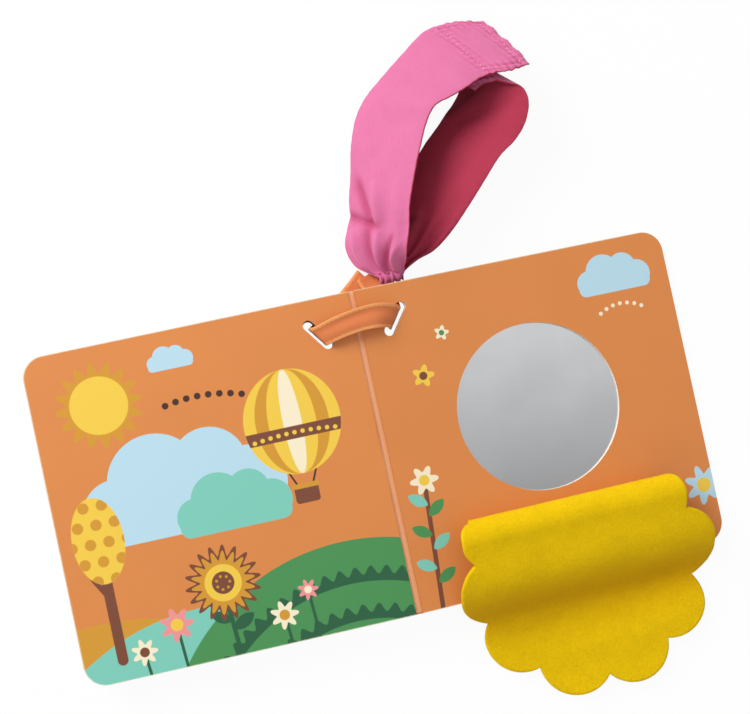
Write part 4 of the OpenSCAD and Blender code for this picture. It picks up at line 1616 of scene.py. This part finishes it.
    def attach(self, name: str, piece: bpy.types.Object, stitches: bpy.types.Object) -> None:
        """Hangs the arch's two lengths on the block and the back cover, and leaves the other lengths in
        place.
        """
        for made in (piece, stitches):
            if name == "arch_left":
                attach(made, Body.BLOCK.value)
                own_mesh(made)
            elif name == "arch_right":
                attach(made, Body.BACK.value)
                low = np.array([BOOK.inner_z + 0.3])
                anchor = BOOK.on_right(np.array([14.0]), np.array([0.0]), low)[0] * MM
                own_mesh(made)
            elif name == "slot_left":
                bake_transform(made)
            elif name == "tail_left":
                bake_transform(made)
            else:
                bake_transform(made)


@dataclass
class Strap:
    """The cotton strap that closes into a loop, gathered where it is sewn to the tape."""

    width: float = 32.0
    thick: float = 2.2
    gather: float = 0.9
    gather_n: float = 3.5
    loop_reach: float = 90.5
    neck_gap: float = 0.5
    rings: int = 640
    sides: int = 112
    patch_w: float = 22.0
    patch_t: float = 0.9
    patch_gap: float = 0.15
    patch_from: float = 1.9
    patch_to: float = 3.4
    under_from: float = 1.7
    under_to: float = 3.6
    under_step: float = 0.19
    # How many faces at each rim take the inner face's painted shade.
    shaded_rim_faces: int = 3

    LEFT = (
        (54.5, 88.0, 6.0, -66, 33, 0.90),
        (47.0, 89.5, 6.0, -68, 33, 1),
        (39.5, 90.0, 6.0, -66, 31, 1),
        (31.5, 88.5, 6.0, -60, 29, 1),
        (22.0, 82.0, 5.0, -48, 32, 1),
        (13.0, 75.5, 2.8, -36, 35, 1),
        (5.5, 69.5, 1.2, -27, 38, 1),
        (0.5, 63.0, 0.4, -24, 38, 1),
        (-2.5, 55.0, 0.3, -24, 41, 1),
        (-5.0, 45.5, 0.3, -27, 44, 0.98),
        (-7.5, 36.0, 0.3, -28, 45, 0.95),
        (-9.5, 26.5, 0.3, -25, 44, 0.91),
        (-13.0, 17.5, 0.4, -18, 41, 0.88),
        (-11.5, 10.0, 0.8, -11, 38, 0.72),
        (-7.5, 5.5, 2.4, -7, 30, 0.48),
    )
    NECK = (
        (-4.2, 2.9, 6.2, -4, 8, 0.30),
        (-3.9, 1.2, 5.5, -2, 2, 0.28),
        (-3.9, 1.2, 4.1, -2, 2, 0.28),
        (-3.8, 2.9, 3.4, 0, 4, 0.30),
    )
    RIGHT = (
        (-3.3, 6.5, 3.2, -2, 10, 0.46),
        (-2.0, 11.0, 2.6, -8, 16, 0.66),
        (0.5, 18.0, 1.6, -10, 22, 0.86),
        (6.0, 27.0, 0.9, -12, 26, 0.97),
        (14.0, 37.0, 0.6, -16, 29, 1),
        (22.0, 46.5, 0.5, -21, 29, 1),
        (30.0, 54.0, 0.5, -28, 30, 1),
        (37.0, 60.0, 0.5, -32, 36, 1),
        (41.5, 67.0, 0.5, -36, 41, 1),
        (41.5, 76.0, 0.8, -43, 38, 1),
    )

    def __post_init__(self) -> None:
        """Puts the stations in place and closes the loop under its left end."""
        scale = (self.loop_reach - self.neck_gap) / 90.0
        neck_x, neck_y = 16.0, BOOK.head_y + self.neck_gap

        def placed(rows: Sequence[Sequence[float]]) -> np.ndarray:
            """Stations measured from the neck, in the book's frame."""
            made = np.array(rows, float)
            made[:, 0] = neck_x + made[:, 0] * scale
            made[:, 1] = neck_y + made[:, 1] * scale
            return made

        self.left = Band(placed(self.LEFT), self.width, False)
        apart = self.thick + 2 * self.patch_t + 3 * self.patch_gap
        places = np.arange(self.under_from, self.under_to + 1e-6, self.under_step)
        under = self.left.spline(places)
        under[:, :3] -= self.left.frames(places)[2] * apart
        stations = np.concatenate([self.left.stations, placed(self.NECK), placed(self.RIGHT), under])
        self.band = Band(stations, self.width, False)
        self.last = len(stations) - 1
        self.u, self.run = self.band.even(0.0, float(self.last), self.rings)
        self.length = float(self.run[-1])

    def at(self, u: float) -> float:
        """The length along the strap at a station."""
        return float(np.interp(u, self.u, self.run))

    def seam_boxes(self) -> list[tuple[float, float, float, float]]:
        """The box seams round the patches: two lengths and two places across."""
        half = self.patch_w / 2 + 1.0
        near = (2.6, 16.6, -half - 1.6, half + 1.6)
        stations = (self.under_to - self.under_from) / self.under_step
        far = (self.at(self.last - stations + 0.6), self.length - 2.0, -half, half)
        return [near, far]

    def folds(self) -> list[Fold]:
        """The creases that show in the strap."""
        neck = self.at(15.5)
        return [
            Fold((neck - 36, -11), (neck - 24, -5), 2.4, -2.6, 1.4),
            Fold((neck - 38, -2), (neck - 22, 2), 3.0, 2.0, 1.4),
            Fold((neck - 24, -15), (neck - 21, 1), 1.7, -2.0, 1.3),
            Fold((neck - 20, -13), (neck - 12, -9), 2.0, 1.6, 1.6),
            Fold((neck - 19, -5), (neck - 6, -2), 1.8, -1.8, 1.4),
            Fold((neck - 18, 2), (neck - 6, 1), 1.8, 1.4, 1.4),
            Fold((neck - 17, 8), (neck - 5, 3), 1.6, -1.6, 1.4),
            Fold((neck - 14, 12), (neck - 6, 7), 1.6, 1.2, 1.4),
            Fold((neck + 10, -8), (neck + 26, -11), 1.8, 1.2, 1.4),
            Fold((neck + 9, -2), (neck + 28, -3), 1.8, -1.6, 1.4),
            Fold((neck + 9, 5), (neck + 24, 8), 1.8, 1.3, 1.4),
            Fold((neck + 72, -15), (neck + 92, 5), 3.0, -2.2, 1.4),
            Fold((neck + 68, -12), (neck + 82, 10), 4.5, 1.4, 1.6),
        ]

    def relief(self, s: np.ndarray, w: np.ndarray, face: np.ndarray) -> np.ndarray:
        """How far each point of the strap moves out of its smooth form."""
        push = sum(fold.push(s, w) for fold in self.folds())
        rim = self.width / 2
        neck = self.at(16.5)
        near = np.exp(-(((s - neck) / 15.0) ** 2))
        coarse = np.sin(w * 0.8 + 1.2 * np.sin(s / 6.0))
        pleats = 0.4 * near * (coarse + 0.5 * np.sin(w * 1.27 + 2.0 + s / 4.0))
        edge = np.exp(-(((rim - np.abs(w)) / 3.2) ** 2))
        nearness = 0.3 + 0.7 * np.exp(-((s / 22.0) ** 2))
        wide = np.clip((np.abs(s - neck) - 10.0) / 14.0, 0, 1)
        pucker = 0.16 * edge * nearness * wide * np.sin(2 * math.pi * s / 4.2 + 1.4 * ripple(s / 2, w / 2, 8))
        soft = 0.22 * ripple(s / 2.6, w / 2.6, 21)
        seam = np.zeros(np.broadcast(s, w).shape)
        for s0, s1, w0, w1 in self.seam_boxes():
            ds = np.minimum(np.abs(s - s0), np.abs(s - s1)) + 9 * (np.abs(w) > w1 + 0.6)
            dw = np.minimum(np.abs(w - w0), np.abs(w - w1)) + 9 * ((s < s0 - 0.6) | (s > s1 + 0.6))
            line = np.minimum(ds, dw)
            seam = seam - 0.3 * face * np.exp(-((line / 0.6) ** 2))
            close = np.exp(-((line / 2.6) ** 2))
            bunched = np.sin(2 * math.pi * (s + w) / 4.4) * np.cos(2 * math.pi * (s - w) / 5.9)
            seam = seam + 0.7 * close * bunched
        return push + pleats + pucker + soft + seam

    def surface(
        self, u: np.ndarray, run: np.ndarray, cosine: np.ndarray, sine: np.ndarray, off: float = 0.0
    ) -> np.ndarray:
        """Points of the strap's cloth.

        Args:
            u: Places along it, in stations.
            run: The same places as lengths.
            cosine: Place across, from -1 to 1.
            sine: Which face, and how near its rim.
            off: How far the points lie off the cloth.

        Returns:
            The points by place along and place across, in the part's frame.
        """
        centre, across, face, share = self.band.frames(u)
        c = np.broadcast_to(cosine, (len(u), cosine.shape[-1]))
        s = np.broadcast_to(sine, (len(u), sine.shape[-1]))
        half = np.sign(s) * np.abs(s) ** 0.8 * self.thick / 2
        k = share[:, None]
        gathered = self.gather * 8 * (1 - k) * np.maximum(k - 0.3, 0)
        pleat = gathered * np.sin(np.radians(180 * self.gather_n * c + 70))
        lift = half + pleat + self.relief(run[:, None], c * self.width / 2, np.sign(s)) + np.sign(s) * off
        points = centre[:, None, :] + across[:, None, :] * (c * self.width / 2 * k)[:, :, None]
        return BOOK.in_frame(points + face[:, None, :] * lift[:, :, None])

    def on_cloth(self, lengths: np.ndarray, across: np.ndarray, side: float, off: float) -> np.ndarray:
        """A line on one face of the strap, from lengths along it and places across it."""
        u = np.interp(lengths, self.run, self.u)
        c = across / (self.width / 2)
        s = side * np.sqrt(np.maximum(1 - c * c, 0))
        points = self.surface(u, lengths, c[None, :], s[None, :], off)
        return points[np.arange(len(u)), np.arange(len(u))]

    def seams(self) -> list[np.ndarray]:
        """The box seams, on both faces."""
        lines = []
        for s0, s1, w0, w1 in self.seam_boxes():
            corners = [(s0, w0), (s1, w0), (s1, w1), (s0, w1), (s0, w0)]
            for side in (-1.0, 1.0):
                for (a, b), (c, d) in zip(corners[:-1], corners[1:]):
                    count = max(int(math.hypot(c - a, d - b) * 2), 4)
                    t = np.linspace(0.02, 0.98, count)
                    lines.append(self.on_cloth(a + (c - a) * t, b + (d - b) * t, side, 0.02))
        return lines

    def build(
        self, cotton: bpy.types.Material, shaded_inner_face: bpy.types.Material, sewing: bpy.types.Material
    ) -> bpy.types.Object:
        """Makes the strap, with painted shade on its inner face and its rims, and its stitches, on the block.
        """
        a = 2 * math.pi * (np.arange(self.sides) + 0.5) / self.sides
        rings = self.surface(self.u, self.run, np.cos(a)[None, :], np.sin(a)[None, :])
        across = np.cos(a) * self.width / 2
        cloth = np.stack(np.broadcast_arrays(self.run[:, None], across[None, :]), axis=2)
        strap = tube(rings, cloth).build("cotton_strap", cotton)
        strap.data.materials.append(shaded_inner_face)
        # Painted shade: the inner face and the faces at both rims take the darker inner-face material.
        column = np.arange(len(strap.data.polygons)) % self.sides
        rim = np.minimum(column, self.sides - column) % (self.sides // 2) < self.shaded_rim_faces
        inner = (column >= self.sides // 2) | rim
        strap.data.polygons.foreach_set("material_index", inner.astype(np.int32))
        stitches = Stitching(2.2, 1.7, 0.3).sew("strap_stitches", self.seams(), sewing)
        for piece in (strap, stitches):
            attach(piece, Body.BLOCK.value)
        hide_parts("strap")
        flat = (self.width * MM, self.length * MM)
        return strap


@dataclass
class Patches:
    """The hook patch and the loop patch between the strap's ends."""

    strap: Strap
    base_t: float = 0.45
    rings: int = 60
    sides: int = 64
    length: float = 0.0

    def base(self, step: int) -> Sheet:
        """A patch's woven base: the upper one is step 1 and the lower one is step 2."""
        s = self.strap
        u, run = s.left.even(s.patch_from, s.patch_to, self.rings)
        self.length = float(run[-1])
        centre, across, face, _ = s.left.frames(u)
        middle = -s.thick / 2 - step * (s.patch_gap + s.patch_t) + s.patch_t / 2
        outer = 1 if step == 1 else -1
        middle += outer * (s.patch_t - self.base_t) / 2
        a = 2 * math.pi * (np.arange(self.sides) + 0.5) / self.sides
        c, sn = np.cos(a), np.sin(a)
        lift = middle + np.sign(sn) * np.abs(sn) ** 0.3 * self.base_t / 2
        points = centre[:, None, :] + across[:, None, :] * (c * s.patch_w / 2)[None, :, None]
        points = points + face[:, None, :] * lift[None, :, None]
        cloth = np.stack(np.broadcast_arrays(run[:, None], (c * s.patch_w / 2)[None, :]), axis=2)
        return tube(BOOK.in_frame(points), cloth)

    def build(self, woven: bpy.types.Material, plastic: bpy.types.Material) -> None:
        """Makes both patches with their hooks and loops, on the block."""
        for step, name, node, nap in (
            (1, "hook", "hook_patch", Nap(0.5, 0.32, 0.05, 0.15, 4, 0.9)),
            (2, "loop", "loop_patch", Nap(0.9, 0.34, 0.03, 0.7, 6, 1.2)),
        ):
            base = self.base(step).build(name + "_tape", woven)
            pile = nap.grow(name + "_pile", base, plastic)
            for piece in (base, pile):
                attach(piece, Body.BLOCK.value)
            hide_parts(node)


@dataclass
class SpineCard:
    """The printed card that bows out behind the block, from cover to cover."""

    card_t: float = 0.8
    length: float = 119.0
    steps: int = 28

    def build(self, card: bpy.types.Material) -> bpy.types.Object:
        """Makes the card, on the block."""
        x = BOOK.cover_start
        low = BOOK.lift + BOOK.cloth_gap
        top = BOOK.hinge_z + BOOK.outer_z - x * math.tan(BOOK.slope)
        outer = (top - low - BOOK.cloth_gap) / 2
        mid = low + outer
        angles = np.radians(np.linspace(-90, 90, self.steps))
        loop = [(x + outer * math.cos(t), mid + outer * math.sin(t)) for t in angles]
        inner = outer - self.card_t
        loop += [(x + inner * math.cos(t), mid + inner * math.sin(t)) for t in angles[::-1]]
        ys = np.linspace(self.length / 2, -self.length / 2, 30)
        rings = np.array([[[px, y, pz] for px, pz in loop] for y in ys])
        rings = BOOK.in_frame(rings)
        piece = tube(rings).build("spine_card", card)
        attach(piece, Body.BLOCK.value)
        edge = ((x - BOOK.mid_x) * MM, 0.0, mid * MM)
        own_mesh(piece)
        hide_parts("spine_strip")
        return piece


@dataclass
class GutterCrease:
    """The creased paper of the spread, from the left page across the gutter to the mirror page."""

    PROFILE = (
        (-0.72, 0.06),
        (-0.55, 0.0),
        (-0.3, -0.22),
        (0.1, -0.3),
        (0.55, -0.26),
        (0.95, -0.12),
        (1.3, 0.0),
        (1.55, 0.04),
    )
    paper_t: float = 0.12

    def build(self, paper: bpy.types.Material) -> bpy.types.Object:
        """Makes the crease, shaped from the block across the gutter to the back cover."""
        z = BOOK.page_z
        loop = [(px, z + pz - max(px, 0) * math.tan(BOOK.slope)) for px, pz in self.PROFILE]
        loop += [(px, pz - self.paper_t) for px, pz in reversed(loop)]
        half = BOOK.head_y - 0.05
        ys = np.linspace(-half, half, 120)
        wander = 0.05 * ripple(ys / 2.5, ys * 0, 14)
        rings = np.array([[[px + dx, y, pz] for px, pz in loop] for y, dx in zip(ys, wander)])
        piece = tube(BOOK.in_frame(rings)[:, ::-1]).build("gutter_crease", paper)
        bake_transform(piece)
        return piece


# ---- the studio


@dataclass(frozen=True)
class Studio:
    """A pale floor, soft light and the camera at the photograph's angle."""

    eye: tuple[float, float, float] = (-31.9, 1.1, 481.2)
    look: tuple[float, float, float] = (0.0771, 0.0184, -0.9969)
    up: tuple[float, float, float] = (0.2086, 0.9774, 0.0342)
    lens: float = 62.4
    floor_half: float = 2.5
    floor_z: float = -0.2
    floor_glow: float = 0.94
    room_light: float = 0.54
    room_span: tuple[float, float] = (-0.16, 0.02)
    key_place: tuple[float, float, float] = (-0.78, 0.9, 0.86)
    key_size: float = 0.9
    key_power: float = 18.5

    def camera(self) -> None:
        """Sets up the camera."""
        data = bpy.data.cameras.new("camera")
        data.lens, data.sensor_width, data.sensor_fit = self.lens, 36.0, "HORIZONTAL"
        data.clip_start, data.clip_end = 0.01, 20.0
        camera = bpy.data.objects.new("camera", data)
        bpy.context.scene.collection.objects.link(camera)
        forward = Vector(self.look).normalized()
        right = forward.cross(Vector(self.up)).normalized()
        up = right.cross(forward)
        turn = Matrix((right, up, -forward)).transposed().to_4x4()
        camera.matrix_world = Matrix.Translation(Vector(self.eye) * MM) @ turn
        bpy.context.scene.camera = camera

    def lamp(self, name: str, place: Sequence[float], size: float, power: float) -> None:
        """Adds a soft square lamp that faces the book."""
        data = bpy.data.lights.new(name, "AREA")
        data.shape, data.size, data.energy = "SQUARE", size, power
        lamp = bpy.data.objects.new(name, data)
        bpy.context.scene.collection.objects.link(lamp)
        lamp.location = place
        lamp.rotation_mode = "QUATERNION"
        lamp.rotation_quaternion = (Vector((0, 0, 0)) - Vector(place)).to_track_quat("-Z", "Y")

    def floor(self) -> None:
        """Adds the pale floor."""
        paint = Paint("pale floor")
        matt = paint.node("ShaderNodeBsdfDiffuse", values={"Color": (0.93, 0.93, 0.93)})
        white = paint.node("ShaderNodeEmission", values={"Color": (1.0, 1.0, 1.0), "Strength": 1.0})
        seen = paint.node("ShaderNodeLightPath", output="Is Camera Ray") * self.floor_glow
        both = paint.node("ShaderNodeMixShader", values={0: seen, 1: matt, 2: white})
        paint.node("ShaderNodeOutputMaterial", values={"Surface": both}, output=None)
        h, z = self.floor_half / MM, self.floor_z
        corners = np.array([[-h, -h, z], [h, -h, z], [h, h, z], [-h, h, z]])
        Sheet(corners, [[0, 1, 2, 3]]).build("floor", paint.material, smooth=False)

    def world(self) -> None:
        """Lights the book evenly, and shows the camera a white room."""
        world = bpy.data.worlds.new("studio")
        world.use_nodes = True
        tree = world.node_tree
        tree.nodes.clear()
        out = tree.nodes.new("ShaderNodeOutputWorld")
        lit, seen, mirrored = (tree.nodes.new("ShaderNodeBackground") for _ in range(3))
        lit.inputs[0].default_value, lit.inputs[1].default_value = (1.0, 1.0, 1.0, 1.0), self.room_light
        seen.inputs[0].default_value, seen.inputs[1].default_value = (1.0, 1.0, 1.0, 1.0), 1.0
        where = tree.nodes.new("ShaderNodeTexCoord")
        split = tree.nodes.new("ShaderNodeSeparateXYZ")
        ramp = tree.nodes.new("ShaderNodeValToRGB")
        tree.links.new(where.outputs["Generated"], split.inputs[0])
        span = tree.nodes.new("ShaderNodeMapRange")
        span.inputs["From Min"].default_value, span.inputs["From Max"].default_value = self.room_span
        tree.links.new(split.outputs[1], span.inputs["Value"])
        tree.links.new(span.outputs[0], ramp.inputs[0])
        ramp.color_ramp.elements[0].color = (0.19, 0.19, 0.192, 1.0)
        ramp.color_ramp.elements[1].color = (0.97, 0.97, 0.972, 1.0)
        tree.links.new(ramp.outputs[0], mirrored.inputs[0])
        path = tree.nodes.new("ShaderNodeLightPath")
        first, second = tree.nodes.new("ShaderNodeMixShader"), tree.nodes.new("ShaderNodeMixShader")
        tree.links.new(path.outputs["Is Glossy Ray"], first.inputs[0])
        tree.links.new(lit.outputs[0], first.inputs[1])
        tree.links.new(mirrored.outputs[0], first.inputs[2])
        tree.links.new(path.outputs["Is Camera Ray"], second.inputs[0])
        tree.links.new(first.outputs[0], second.inputs[1])
        tree.links.new(seen.outputs[0], second.inputs[2])
        tree.links.new(second.outputs[0], out.inputs[0])
        bpy.context.scene.world = world

    def build(self) -> None:
        """Sets the whole studio up."""
        bpy.context.scene.view_settings.view_transform = "Standard"
        self.camera()
        self.floor()
        self.world()
        self.lamp("key", self.key_place, self.key_size, self.key_power)


def dress(name: str, material: bpy.types.Material) -> None:
    """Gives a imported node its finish."""
    node = cad(name)
    node.data.materials.clear()
    node.data.materials.append(material)


def main() -> None:
    """Builds the book's looks in order."""
    logging.basicConfig(level=logging.INFO, format="%(message)s")
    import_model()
    boards = PrintedBoard()
    dress("page_block", boards.left_page)
    dress("mirror_page", boards.right_page)
    dress("front_cover", boards.front)
    dress("back_cover", boards.back)
    dress("mirror_film", MirrorSilver().material)
    LOG.info("boards and mirror")
    SpineCard().build(spine_print())
    GutterCrease().build(creased_paper())
    LOG.info("spine card and gutter")
    FeltFlower().build(FeltWool())
    LOG.info("felt flower")
    # The tape's last colour, for its hems, is a painted highlight along both folded rims.
    tape = WovenCotton(
        "orange tape", ink(232, 138, 80), ink(212, 110, 60), 0.55, ink(255, 200, 150), ink(246, 172, 104)
    ).build()
    Tape().build(tape, thread("tape thread", ink(246, 170, 104)))
    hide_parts("ribbon")
    LOG.info("tape")
    strap = Strap()
    hollows = [fold for fold in strap.folds() if fold.depth < 0]
    # The outer face's dye, then the inner face's colours, which are painted shade: darker and deeper red.
    dyes_and_inner_shade = (
        ("pink cotton", ink(222, 122, 166), ink(200, 90, 138), 0.5, ink(255, 190, 220)),
        ("pink cotton, inner face painted shade", ink(188, 52, 82), ink(160, 30, 60), 0.5, ink(240, 150, 180)),
    )
    # Painted shade in the strap's creases, for the outer face and for the inner face.
    painted_crease_shade = (ink(176, 48, 96), ink(110, 12, 36))
    faces = [WovenCotton(*dye_and_shade, creases=hollows, shadow=dark).build() for dye_and_shade, dark in zip(dyes_and_inner_shade, painted_crease_shade)]
    strap.build(*faces, thread("pink thread", ink(240, 150, 190)))
    LOG.info("strap, %.0f mm long", strap.length)
    woven = WovenCotton("patch tape", ink(246, 150, 196), ink(226, 110, 168), 0.6, ink(255, 200, 225)).build()
    pile = Paint("nylon pile")
    Patches(strap).build(woven, pile.finish(Base_Color=ink(240, 150, 196), Roughness=0.4))
    LOG.info("patches")
    Studio().build()


if __name__ == "__main__":
    main()
